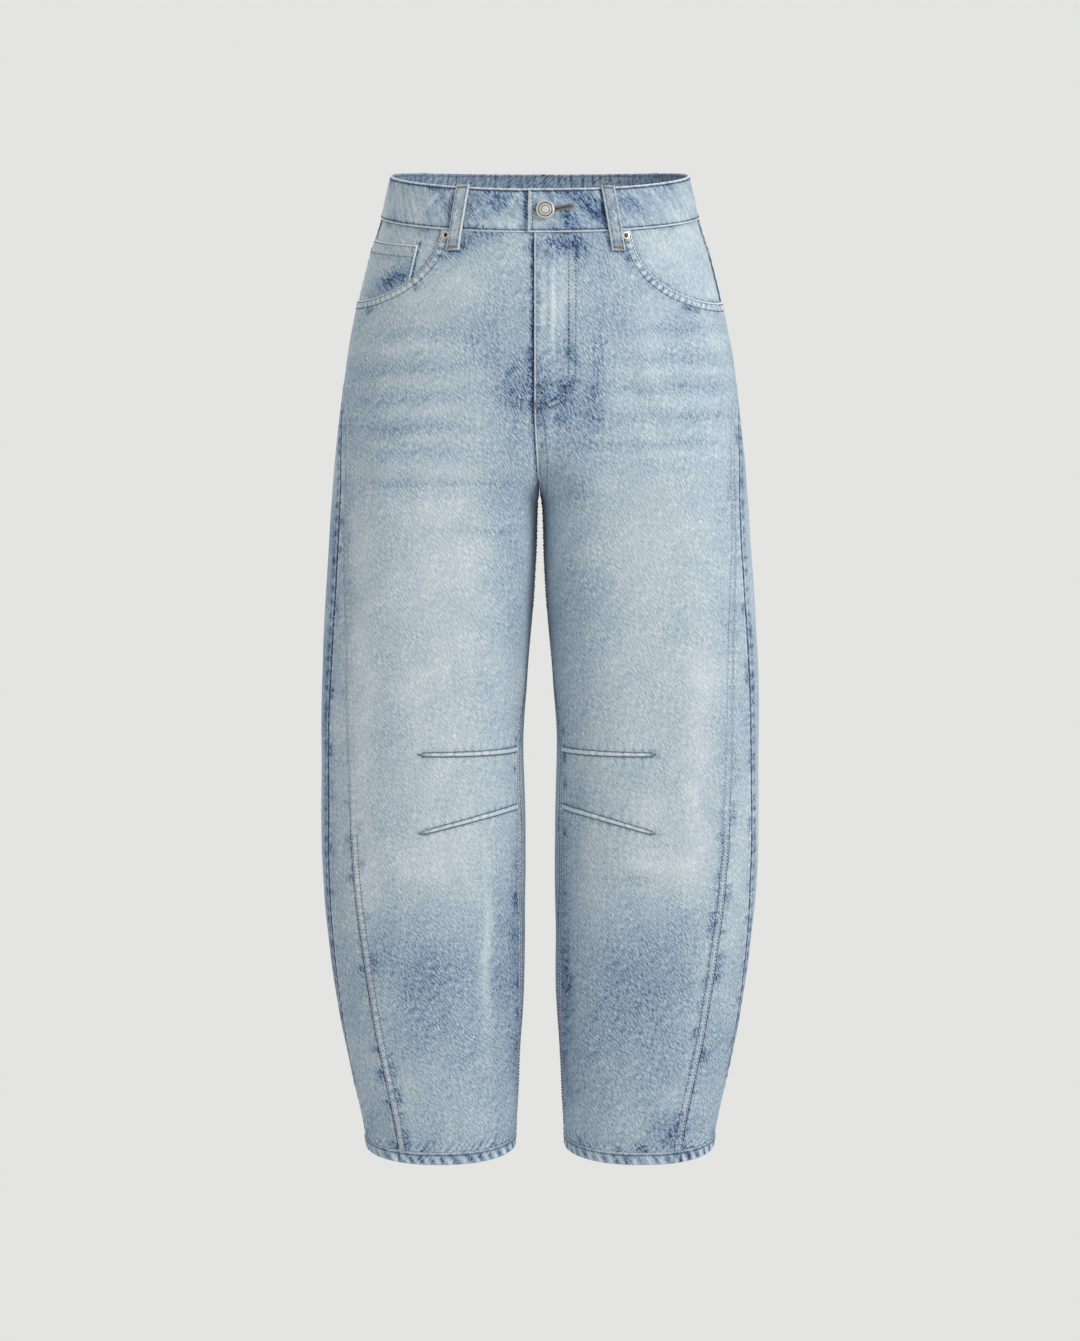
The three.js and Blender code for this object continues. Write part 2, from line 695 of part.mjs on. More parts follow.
const trousers = new THREE.Group();
trousers.name = "barrel_leg_trousers";
trousers.add(waistband("waistband"));
for (const [side, mirror] of [["right", -1], ["left", 1]]) {
  const mouth = MOUTHS[side];
  trousers.add(frontPanel(`front_${side}`, mirror, mouth));
  trousers.add(sidePanel(`side_${side}`, mirror));
  trousers.add(backPanel(`back_${side}`, mirror));
  trousers.add(yoke(`yoke_${side}`, mirror));
  trousers.add(hem(`hem_${side}`, mirror));
  trousers.add(pocketFacing(`pocket_facing_${side}`, mirror, mouth));
  trousers.add(backPocket(`back_pocket_${side}`, mirror));
  trousers.add(rivet(`rivet_${side}`, mirror, mouth));
  for (let i = 0; i < DARTS.count; i += 1) {
    trousers.add(kneeDart(`knee_dart_${DARTS.name[i]}_${side}`, mirror, DARTS.start[i], DARTS.finish[i]));
  }
}
trousers.add(coinPocket("coin_pocket", -1, MOUTHS.right));
for (const [place, loop] of Object.entries(LOOPS)) {
  trousers.add(beltLoop(`belt_loop_${place}`, loop));
}
trousers.add(waistButton("waist_button"));

export default trousers;
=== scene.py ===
# Barrel leg denim trousers, held open as when worn: cloth, sewing, metal parts, light and camera.
# Lengths are in millimetres. Angles are turned from a leg's outer side, the front being at -90 degrees.
import math
import bpy
import numpy as np
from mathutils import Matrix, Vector


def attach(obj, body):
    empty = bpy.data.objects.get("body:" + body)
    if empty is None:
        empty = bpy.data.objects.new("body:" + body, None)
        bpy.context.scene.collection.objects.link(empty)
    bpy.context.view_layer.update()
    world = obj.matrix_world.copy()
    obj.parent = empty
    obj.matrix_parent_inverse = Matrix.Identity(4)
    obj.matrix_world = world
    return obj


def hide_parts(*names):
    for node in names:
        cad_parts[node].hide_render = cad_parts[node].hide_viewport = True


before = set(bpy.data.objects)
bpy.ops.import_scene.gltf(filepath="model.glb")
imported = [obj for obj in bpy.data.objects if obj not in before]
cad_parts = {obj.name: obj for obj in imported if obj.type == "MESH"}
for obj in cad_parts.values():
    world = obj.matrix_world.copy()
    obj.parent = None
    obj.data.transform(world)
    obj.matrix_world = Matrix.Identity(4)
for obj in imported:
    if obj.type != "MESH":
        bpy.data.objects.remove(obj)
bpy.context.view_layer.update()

MM = 0.001
PI = math.pi
SIDES = (("right", -1), ("left", 1))

# Cloth, seams and layers, as in the solids
CLOTH = 1.5
SEAM_GAP = 0.3
LAY_GAP = 0.5
EDGE_GAP = SEAM_GAP / 2
BAND_TOP = 20
BAND_BOTTOM = -21
BAND_OUT = 0.8
BAND_IN = -2.2
BAND_LAP = 8
BAND_UNDERLAP = 24
BAND_RADIUS = 128
BAND_HALF_WIDTH = 148
FLY_LAP = 5.6
FLY_LIFT = CLOTH + 0.7
FLY_COLUMNS = (0.045, 0.09)
FLY_WIDTHS = (33.5, 27.0)
FLY_FOOT = -205.5
CROTCH = -288.5
HEM = -932
HEM_DEPTH = 12
HEM_OUT = 0.9
HEM_IN = -2.1
ROUND = 2.25
PANEL_TOP = BAND_BOTTOM - SEAM_GAP
PANEL_FOOT = HEM + HEM_DEPTH + SEAM_GAP
BELOW_POCKET = -117
SIDE_PANEL_TOP = -187
BACK_BLEND = -140
FACING_LAYER = -CLOTH - 0.6
FACING_TURN = 0.75
FRONT_STEP = 2.2
BACK_STEP = 2.8
YOKE_CENTRE = 78
YOKE_SIDE = 36
MOUTHS = {
    "right": {"angle": 55.4, "depth": 77.5, "across": 2.4, "down": 2.25},
    "left": {"angle": 59, "depth": 79.5, "across": 2.7, "down": 2.45},
}
LOOPS = {
    "front_right": (-1, -63, -62),
    "front_left": (1, -66.9, -65.4),
    "back_right": (-1, 42, 40),
    "back_left": (1, 42, 40),
    "back_centre": (1, 90, 90),
}
DARTS = {"upper": (-532, -532), "lower": (-588, -608)}
DART_TIPS = {-1: 113, 1: 108}
DART_WIDTHS = (4.4, 2.6)
COIN_TURN = 0.82 * math.radians(MOUTHS["right"]["angle"])
COIN_TOP = -38
COIN_SLOPE = 3
POCKET_TOP = (-113, -103)
POCKET_FOOT = (-272, -252)
POCKET_INNER = (34, 40)
POCKET_OUTER = (160, 150)
LOOP_LENGTH = 61.6
LOOP_HALF = 6.3

# How far the waist dips at the front and rises at the back, and the hem dips at the front
WAIST_DIP = 20.8
WAIST_RISE = 9.1
HEM_DIP = 5.5

# Distances of the stitch rows from their edges
LEG_ROWS = (1.7, 7.4)
BACK_ROWS = (1.8, 7.4)
MOUTH_ROWS = (1.7, 8.0)
COIN_ROWS = (1.7, 11.4)
COIN_SIDE_ROW = 1.9
POCKET_ROWS = (1.7, 7.3)
POCKET_HEM_ROWS = (2.0, 11.2)
BAND_ROW = 2.4
BAND_END_ROW = 3.0
HEM_ROW = 2.2
FLY_EDGE_ROWS = (-1.7, -7.6)

# The buttonhole's ends across, the button's height and place across, and the spacing of a tack's stitches
BUTTONHOLE = (13.6, 28.6)
BUTTON_PLACE = (-0.5, 4.7)
TACK_PITCH = 0.72


def rising(xs, ys):
    """A smooth curve without overshoot through points whose xs rise."""
    xs, ys = np.array(xs, float), np.array(ys, float)
    span = np.diff(xs)
    slope = np.diff(ys) / span
    before, after = slope[:-1], slope[1:]
    first = 2 * span[1:] + span[:-1]
    second = span[1:] + 2 * span[:-1]
    turning = before * after <= 0
    safe_before = np.where(turning, 1, before)
    safe_after = np.where(turning, 1, after)
    inner = (first + second) / (first / safe_before + second / safe_after)
    tangent = np.concatenate([slope[:1], np.where(turning, 0, inner), slope[-1:]])

    def at(x):
        x = np.clip(np.asarray(x, float), xs[0], xs[-1])
        k = np.clip(np.searchsorted(xs, x, side="right") - 1, 0, len(span) - 1)
        h = span[k]
        t = (x - xs[k]) / h
        return (
            ys[k] * (1 + 2 * t) * (1 - t) ** 2
            + h * tangent[k] * t * (1 - t) ** 2
            + ys[k + 1] * t * t * (3 - 2 * t)
            + h * tangent[k + 1] * t * t * (t - 1)
        )

    return at


def by_height(names, rows):
    """Curves down the garment from a table whose first column is the height."""
    table = np.array(rows, float)[::-1].T
    return {name: rising(table[0], column) for name, column in zip(names.split(), table[1:])}


# Sections of one half; inner is negative where the two halves join
SECTIONS = by_height("outer inner front back round", [
    [26, 141.5, -141.5, 87, 87, 2.25],
    [20, 143, -143, 88, 88, 2.25],
    [-21, 153, -153, 93, 95, 2.25],
    [-60, 165.5, -165.5, 97, 103, 2.25],
    [-90, 173.3, -173.3, 100, 109, 2.25],
    [-120, 180.3, -178, 102, 114, 2.3],
    [-148, 185.7, -160, 104, 118, 2.4],
    [-177, 190, -130, 105, 121, 2.6],
    [-206, 193.5, -93, 105, 122, 2.8],
    [-235, 197.2, -55, 104, 120, 3],
    [-260, 200, -24, 103, 117, 3.1],
    [-280, 201.5, -5, 102, 113.5, 3.1],
    [-290, 202.2, 1.6, 101.5, 112, 3.1],
    [-300, 203, 3, 101, 110, 3.1],
    [-351, 206.5, 4.9, 99, 104, 3],
    [-410, 210.5, 8.8, 96, 99, 2.8],
    [-469, 213.2, 12.7, 93, 95, 2.65],
    [-528, 214.4, 16.2, 90, 92, 2.5],
    [-617, 214.8, 14.6, 86, 88, 2.35],
    [-677, 212.7, 14.9, 83, 85, 2.3],
    [-737, 207.2, 15.3, 79, 81, 2.25],
    [-797, 198.7, 16.8, 74, 77, 2.25],
    [-858, 186.7, 21.2, 68, 71, 2.25],
    [-905, 176.2, 23.7, 63, 65, 2.25],
    [-932, 172, 24.9, 61, 62, 2.25],
    [-940, 171, 25.2, 60.5, 61.5, 2.25],
])

# Where the long seams run, as distances in from the outline seen from the front
SEAMS = by_height("outseam panel inseam", [
    [-100, 0, 0, 0],
    [-187, 0, 0, 0],
    [-206, 2.5, 6.5, 0],
    [-235, 6.5, 11.5, 0],
    [-262, 9.5, 15, 0],
    [-291, 11.5, 16.5, 0],
    [-332, 12.2, 18, 0],
    [-392, 12.3, 23.5, 0],
    [-440, 11.8, 27, 1],
    [-513, 10.8, 30.3, 5],
    [-567, 10.2, 32, 7],
    [-604, 9.8, 33, 7.3],
    [-650, 8.8, 34.5, 7.3],
    [-720, 7, 37, 5.5],
    [-787, 5, 38, 4.2],
    [-848, 2.4, 38.3, 1.6],
    [-895, 0.6, 36.8, 0.4],
    [-932, 0, 35.5, 0],
])

# Soft folds: side, angle, height, half sizes, depth (a trough is negative) and lean in degrees for a
# millimetre down. The first ones are in the solids too.
FOLDS = [
    [1, -72, -150, 4.5, 105, -1.6, 0.01],
    [1, -64, -165, 5, 100, 1.4, 0.01],
    [-1, -74, -190, 7, 70, -1.2, -0.02],
    [1, -78, -640, 16, 11, 1.6, 0.25],
    [1, -80, -668, 14, 9, -1.4, 0.25],
    [-1, -100, -655, 16, 12, 1.2, -0.15],
    [1, 70, -560, 24, 14, -2.2, 0.15],
    [-1, 74, -575, 22, 14, -2.2, -0.15],
    [1, 82, -600, 24, 13, 1.8, -0.1],
    [-1, 80, -612, 24, 13, 1.8, 0.1],
    [1, 95, -520, 20, 12, 1.5, 0.1],
    [-1, 98, -530, 20, 12, 1.5, -0.1],
    [1, -50, -205, 16, 9, 0.7, 0.05],
    [1, -44, -228, 18, 8, -0.6, 0.05],
    [1, -52, -252, 18, 9, 0.6, 0.05],
    [-1, -46, -150, 20, 9, 0.6, -0.05],
    [-1, -40, -178, 20, 9, -0.6, -0.05],
    [-1, -48, -206, 20, 9, 0.7, -0.05],
    [-1, -42, -232, 20, 8, -0.6, -0.05],
    [-1, -60, -276, 26, 5, -0.8, 0.05],
    [-1, -70, -330, 22, 5, -0.5, 0],
    [1, -70, -352, 20, 6, -0.5, 0.1],
    [1, -66, -300, 20, 8, 0.7, 0.1],
    [1, -60, -625, 14, 7, 0.9, 0.3],
    [1, -56, -650, 12, 6, -0.9, 0.3],
    [1, -64, -690, 12, 6, -0.6, 0.2],
    [-1, -84, -690, 16, 7, 0.6, -0.2],
    [-1, -70, -800, 14, 20, 0.5, 0.05],
    [1, -100, -780, 12, 24, 0.5, 0],
    [1, 60, -330, 20, 9, -1.4, 0.4],
    [1, 74, -352, 22, 9, 1.2, 0.4],
    [-1, 62, -336, 20, 9, -1.4, -0.4],
    [-1, 76, -360, 22, 9, 1.2, -0.4],
    [1, 100, -640, 20, 9, -1.2, 0.1],
    [-1, 92, -650, 20, 9, -1.2, -0.1],
    [1, 60, -660, 18, 8, 0.9, 0],
    [-1, 58, -540, 18, 8, 0.9, 0],
    [1, 90, -760, 18, 16, 0.7, 0],
    [-1, 90, -775, 18, 16, 0.7, 0],
]


def smooth(start, stop, value):
    t = np.clip((value - start) / (stop - start), 0, 1)
    return t * t * (3 - 2 * t)


def mix(a, b, share):
    return a + (b - a) * share


def bell(value, width):
    return np.exp(-((value / width) ** 2))


def noise(x, y, seed):
    """Smooth noise from -1 to 1 over a plane, one cell a unit."""
    size = 256
    grid = np.random.default_rng(seed).uniform(-1, 1, (size, size))
    x, y = np.broadcast_arrays(np.asarray(x, float), np.asarray(y, float))
    i, j = np.floor(x).astype(int), np.floor(y).astype(int)
    u, v = x - i, y - j
    u, v = u * u * (3 - 2 * u), v * v * (3 - 2 * v)
    i0, i1, j0, j1 = i % size, (i + 1) % size, j % size, (j + 1) % size
    return mix(mix(grid[i0, j0], grid[i1, j0], u), mix(grid[i0, j1], grid[i1, j1], u), v)


def unit(ways):
    return ways / np.linalg.norm(ways, axis=-1, keepdims=True)


def rounded(value, power):
    return np.sign(value) * np.abs(value) ** (2 / power)


def loop_at(z, lift):
    outer = SECTIONS["outer"](z) + lift
    inner = SECTIONS["inner"](z) - lift
    depths = SECTIONS["front"](z) + lift, SECTIONS["back"](z) + lift
    return (outer + inner) / 2, (outer - inner) / 2, *depths, SECTIONS["round"](z)


def round_at(loop, share):
    return np.where(share < 0, loop[4], ROUND)


def across_at(loop, angle):
    turn = np.cos(angle)
    return loop[0] + loop[1] * rounded(turn, round_at(loop, turn))


def sway(z, depth):
    """How far the waist and hem rise or dip, from the front (-1) to the back (1)."""
    waist = (WAIST_RISE + WAIST_DIP) / 2 * depth + (WAIST_RISE - WAIST_DIP) / 2 * depth**2
    hem = HEM_DIP / 2 * depth - HEM_DIP / 2 * depth**2
    return smooth(-290, BAND_BOTTOM, z) * waist + smooth(-700, -920, z) * hem


def fold_at(mirror, z, angle):
    degrees = np.degrees(angle)
    total = np.zeros(np.broadcast(z, angle).shape)
    for side, at, height, wide, tall, depth, lean in FOLDS:
        if side == mirror:
            down = z - height
            total = total + depth * bell(degrees - at - down * lean, wide) * bell(down, tall)
    calm = smooth(-60, -150, z) * smooth(-925, -860, z)
    swell = noise(degrees / 22 + 40 * mirror, z / 55, 5)
    swell = swell + 0.5 * noise(degrees / 11, z / 30 + 9 * mirror, 6)
    return total + 0.55 * calm * swell


def angle_at_x(z, lift, x):
    loop = loop_at(z, lift)
    share = np.clip((x - loop[0]) / loop[1], -1, 1)
    return np.arccos(np.sign(share) * np.abs(share) ** (round_at(loop, share) / 2))


def on_cloth(mirror, z, angle, lift=0.0):
    """Points of the cloth. Past the middle plane it follows the other half."""
    z, angle, lift = np.broadcast_arrays(*(np.asarray(value, float) for value in (z, angle, lift)))
    grown = lift + fold_at(mirror, z, angle)
    loop = loop_at(z, grown)
    x = across_at(loop, angle)
    other = np.sign(np.sin(angle)) * angle_at_x(z, grown, np.abs(x))
    turn = np.where(x < 0, other, angle)
    depth = rounded(np.sin(turn), round_at(loop, np.cos(turn)))
    y = depth * np.where(depth < 0, loop[2], loop[3])
    return np.stack([mirror * x, y, z + sway(z, depth)], -1)


def angle_in_from(z, distance, power):
    return np.arccos(np.clip(1 - distance / loop_at(z, 0)[1], -1, 1) ** (power / 2))


def gap_angle(z, gap=EDGE_GAP):
    loop = loop_at(z, 0)
    return gap / np.minimum(loop[1], loop[2])


def outseam(z):
    return -angle_in_from(z, SEAMS["outseam"](z), ROUND)


def panel_seam(z):
    return -angle_in_from(z, SEAMS["panel"](z), ROUND)


def inseam_turn(z):
    return angle_in_from(z, SEAMS["inseam"](z), loop_at(z, 0)[4])


def inner_front(z, lift=0.0):
    return -np.minimum(angle_at_x(z, lift, EDGE_GAP), PI - inseam_turn(z) - gap_angle(z))


def inner_back(z, lift=0.0):
    above = np.minimum(angle_at_x(z, lift, EDGE_GAP), PI - gap_angle(z))
    return np.where(z > CROTCH, above, PI + inseam_turn(z) - gap_angle(z))


def lap_lift(z):
    return FLY_LIFT * smooth(-284, -258, z)


def lapped_front(z, lift=0.0):
    depth = mix(3.2, FLY_LAP, smooth(-262, -205, z)) * smooth(-283, -266, z)
    reach = angle_at_x(z, lift + lap_lift(z), EDGE_GAP - depth)
    return -np.minimum(reach, PI - inseam_turn(z) - gap_angle(z))


def fly_lift(z, angle):
    return lap_lift(z) * smooth(16, 7, across_at(loop_at(z, 0), angle))


def mouth_height(mouth, angle):
    share = np.minimum(np.abs(angle) / math.radians(mouth["angle"]), 1)
    return PANEL_TOP - mouth["depth"] * (1 - share ** mouth["across"]) ** (1 / mouth["down"])


def yoke_seam(angle):
    turn = np.clip(angle / (PI / 2), 0, 1)
    return BAND_BOTTOM - mix(YOKE_SIDE, YOKE_CENTRE, turn)


def place_front(mirror, x, height):
    """Where a point of a front panel is, from its place across and its true height."""
    x, height = np.asarray(x, float) * mirror, np.asarray(height, float)
    z = height.copy()
    angle = -angle_at_x(z, 0, x)
    for _ in range(14):
        z = z + 0.8 * (height - on_cloth(mirror, z, angle)[..., 2])
        angle = -angle_at_x(z, 0, x)
    return z, angle


def beside(mirror, z, angle, distance):
    """A line moved a distance sideways over the cloth, to the left of its way along."""
    z, angle = np.asarray(z, float), np.asarray(angle, float)
    step = 0.002
    metric = np.linalg.norm(on_cloth(mirror, z, angle + step) - on_cloth(mirror, z, angle), axis=-1) / step
    way_z = np.gradient(z)
    way_a = np.gradient(angle) * metric
    size = np.hypot(way_z, way_a) + 1e-9
    return z - distance * way_a / size, angle + distance * way_z / size / metric


# Points on seams and edges, and what they do to the cloth beside them
def way_along(line):
    """How far along a line each of its points is."""
    return np.concatenate([[0], np.cumsum(np.linalg.norm(np.diff(line, axis=0), axis=1))])


def nearest(line, points):
    """Distance of each point from a line, and how far along the line it lies."""
    flat = points.reshape(-1, 3)
    along = way_along(line)
    best = np.empty(len(flat))
    where = np.empty(len(flat))
    for start in range(0, len(flat), 6000):
        part = flat[start:start + 6000]
        square = (part**2).sum(1)[:, None] + (line**2).sum(1)[None] - 2 * part @ line.T
        k = np.argmin(square, 1)
        found = np.full(len(part), 1e9)
        place = np.zeros(len(part))
        for a, b in ((np.maximum(k - 1, 0), k), (k, np.minimum(k + 1, len(line) - 1))):
            way = line[b] - line[a]
            size = (way**2).sum(1) + 1e-12
            t = np.clip(((part - line[a]) * way).sum(1) / size, 0, 1)
            gap = np.linalg.norm(part - line[a] - way * t[:, None], axis=1)
            nearer = gap < found
            found = np.where(nearer, gap, found)
            place = np.where(nearer, mix(along[a], along[b], t), place)
        best[start:start + 6000] = found
        where[start:start + 6000] = place
    return best.reshape(points.shape[:-1]), where.reshape(points.shape[:-1])


def waves(s, length, seed):
    """Uneven waves along a seam, from -1 to 1."""
    phase = s / length + 0.45 * noise(s / (2.1 * length), 0.5, seed)
    size = 0.65 + 0.35 * noise(s / (1.7 * length), 7.5, seed + 1)
    return np.sin(2 * PI * phase) * size


def spots(s, length, seed):
    """Uneven spots along a seam, from 0 to 1."""
    fine = noise(s / (0.4 * length), 1.5, seed + 2)
    return smooth(0.08, 0.62, noise(s / length, 3.5, seed) + 0.35 * fine)


def drawn_in(d, rows, width=0.8):
    """Where rows of stitches draw the cloth in, at their distances from an edge."""
    return sum(bell(d - row, width) for row in rows)


def roll(d, depth, reach):
    """How far an edge is rolled down, at a distance from it."""
    return -depth * np.clip(1 - d / reach, 0, 1) ** 2


# Each kind of seam or edge gives, from the distance to it and along it, the rise of the cloth, the change
# of its wash, with painted shade beside some edges, and how worn white it is
def felled(d, s, seed):
    inside = smooth(9.6, 7.6, d)
    grooves = drawn_in(d, (1.7, 7.3))
    wave = waves(s + 0.35 * d, 8.0, seed)
    cross = bell(d - 4.5, 3.6)
    rise = 0.55 * inside - 0.25 * grooves + 0.30 * wave * cross + roll(d, 0.9, 1.4)
    wash_and_shade = 0.10 * inside + 0.26 * wave * cross - 0.36 * grooves - 0.5 * bell(d, 0.5)
    wash_and_shade = wash_and_shade - 0.32 * spots(s, 13, seed) * bell(d - 10.5, 3.2)
    return rise, wash_and_shade, 0.40 * bell(d - 0.9, 0.7)


def faded(kind):
    """A seam that the wash has all but smoothed away above the knee."""

    def at(d, s, seed):
        rise, wash_and_shade, worn = kind(d, s, seed)
        share = 0.30 + 0.70 * smooth(360, 500, s)
        return rise * (0.5 + 0.5 * share), wash_and_shade * share, worn * share

    return at


# A seam edge tucked under the fell: puckers, blue spots of the wash, and painted shadow along the edge
def tucked(d, s, seed):
    wave = waves(s, 9, seed)
    rise = roll(d, 0.8, 1.6) + 0.28 * wave * bell(d - 3, 4)
    wash_and_shade = 0.10 * wave * bell(d - 4, 4) - 0.62 * bell(d, 1.0)
    return rise, wash_and_shade - 0.38 * spots(s, 9, seed) * bell(d - 4, 4.5), 0 * d


# The side panel's edge at the outseam: rolled, darkened with painted shadow along the seam's gap, with a
# pale worn ridge beside it
def outseam_edge(d, s, seed):
    rise, wash_and_shade, worn = tucked(d, s, seed)
    return rise + roll(d, 0.9, 2.4), wash_and_shade - 0.35 * bell(d, 1.5), worn + 0.3 * bell(d - 2.8, 0.8)


# The back panel's strip beyond the outseam: painted shadow along the seam's gap, and blue blocks and spots
# of the wash on its puckers
def blue_strip_and_seam_shadow(d, s, seed):
    wave = waves(s, 11, seed)
    rise = roll(d, 1.7, 2.4) + 0.50 * wave * bell(d - 6, 6)
    blocks = smooth(-0.15, 0.40, waves(s, 13.5, seed + 4)) * (0.75 + 0.25 * waves(s, 5.5, seed + 5))
    wash_and_shade = -0.95 * bell(d, 1.4) - 0.10 * bell(d - 6, 8) + 0.08 * wave * bell(d - 7, 6)
    wash_and_shade = wash_and_shade - 0.46 * blocks * bell(d - 5.5, 5) - 0.30 * spots(s, 9, seed) * bell(d - 6, 5)
    return rise, wash_and_shade, (0.25 + 0.25 * smooth(0.2, 0.9, wave)) * bell(d - 2.8, 1.0)


def pocket_edge(d, s, seed):
    inside = smooth(10.2, 8.4, d)
    grooves = drawn_in(d, (1.6, 7.9))
    wave = waves(s + 0.2 * d, 6.4, seed)
    cross = bell(d - 4.9, 3.8)
    rise = 0.6 * inside - 0.25 * grooves + 0.50 * wave * cross + roll(d, 1.0, 1.4)
    wash_and_shade = 0.06 * inside + 0.56 * wave * cross - 0.24 * grooves
    wash_and_shade = wash_and_shade - 0.42 * spots(s, 11, seed) * bell(d - 11, 3.5)
    return rise, wash_and_shade, 0.80 * bell(d - 0.6, 0.9)


def fly_edge(d, s, seed):
    rise = roll(d, 0.8, 1.3) - 0.2 * bell(d - 2.2, 0.7) + 0.12 * waves(s, 8, seed) * bell(d - 2.5, 3)
    white = 0.55 + 0.25 * waves(s, 9, seed + 3)
    wash_and_shade = 0.14 * bell(d - 1.0, 1.5) - 0.26 * bell(d - 2.7, 0.8)
    return rise, wash_and_shade - 0.22 * spots(s, 10, seed) * bell(d - 5, 3), white * bell(d - 0.8, 0.8)


def shadowed(d, s, seed):
    """The cloth beside an edge that lies over it."""
    wash_and_shade = -0.50 * bell(d - 1.0, 2.6) - 0.35 * bell(d - 0.3, 0.9)
    return -0.25 * bell(d - 0.6, 1.2), wash_and_shade - 0.25 * spots(s, 14, seed) * bell(d - 4, 4), 0 * d


# A stitched line: a groove and puckers, darker along the stitches, partly from the thread holes and partly
# painted shade
def stitched(d, s, seed):
    wave = waves(s, 6, seed)
    rise = -0.28 * bell(d, 0.9) + 0.14 * wave * bell(d, 3.2)
    return rise, -0.30 * bell(d, 1.0) + 0.10 * wave * bell(d, 3), 0 * d


def above_hem(d, s, seed):
    slanted = waves(s + 0.8 * d, 6.5, seed)
    rise = roll(d, 0.5, 1.2) + 0.60 * slanted * bell(d - 2, 7)
    wash_and_shade = 0.36 * slanted * bell(d - 3, 6) - 0.36 * spots(s + 0.8 * d, 9, seed) * bell(d - 3, 7)
    return rise, wash_and_shade - 0.25 * bell(d, 0.8), 0 * d


# Below the waistband: a roll, puckers, blue spots of the wash, and a narrow painted shadow under the band's
# edge
def under_band(d, s, seed):
    rise = roll(d, 0.5, 1.0) + 0.30 * waves(s, 12, seed) * bell(d, 9)
    return rise, -0.10 * bell(d, 2.5) - 0.20 * spots(s, 17, seed) * bell(d, 10), 0 * d


# The facing beside the coin pocket's side edge, darkened with painted shadow of that edge
def coin_side(d, s, seed):
    return 0 * d, -0.50 * bell(d - 0.6, 1.5), 0 * d


# Beside a knee dart: puckers, and a dark band of painted shade along the welt's foot
def dart_side(d, s, seed):
    wave = waves(s, 9, seed)
    wash_and_shade = 0.14 * wave * bell(d - 5, 5) - 0.16 * bell(d - 2.6, 1.8)
    return 0.25 * wave * bell(d - 5, 4), wash_and_shade, 0 * d


def mouth_line(side):
    """Heights and angles along a pocket mouth, from the outer side to the waist."""
    mouth = MOUTHS[side]
    turn = np.linspace(0.0, PI / 2, 120)
    share = np.cos(turn) ** (2 / mouth["across"])
    drop = np.sin(turn) ** (2 / mouth["down"])
    return PANEL_TOP - mouth["depth"] * drop, -share * math.radians(mouth["angle"])


def fly_curve(x, straight):
    """The stitched curve of the fly, as real places across and heights."""
    down = np.linspace(-45, straight, 60)
    bend = np.linspace(0, PI / 2, 40)
    low = FLY_FOOT + (FLY_WIDTHS[0] - x) * 0.75
    foot = -4.0
    across = foot + (x - foot) * np.cos(bend) ** 0.85
    height = straight + (low - straight) * np.sin(bend) ** 0.95
    return np.concatenate([np.full(60, x), across[1:]]), np.concatenate([down, height[1:]])


FLY_CURVES = [fly_curve(FLY_WIDTHS[0], -172), fly_curve(FLY_WIDTHS[1], -170)]
heights_side = np.linspace(SIDE_PANEL_TOP, PANEL_FOOT, 360)
heights_leg = np.linspace(CROTCH - 1, PANEL_FOOT, 320)


def dart_line(mirror, name):
    """Heights and angles along a knee dart from the inseam, and how far along it each place is."""
    start, finish = DARTS[name]
    middle = (start + finish) / 2
    first = inner_front(middle) + gap_angle(middle, 0.3)
    last = -angle_at_x(middle, 0, DART_TIPS[mirror])
    angle = np.linspace(float(first), float(last), 60)
    across = across_at(loop_at(middle, 0), angle)
    reached = (across - across[0]) / (across[-1] - across[0])
    return mix(start, finish, np.clip(reached, 0, 1) ** 1.25), angle, reached


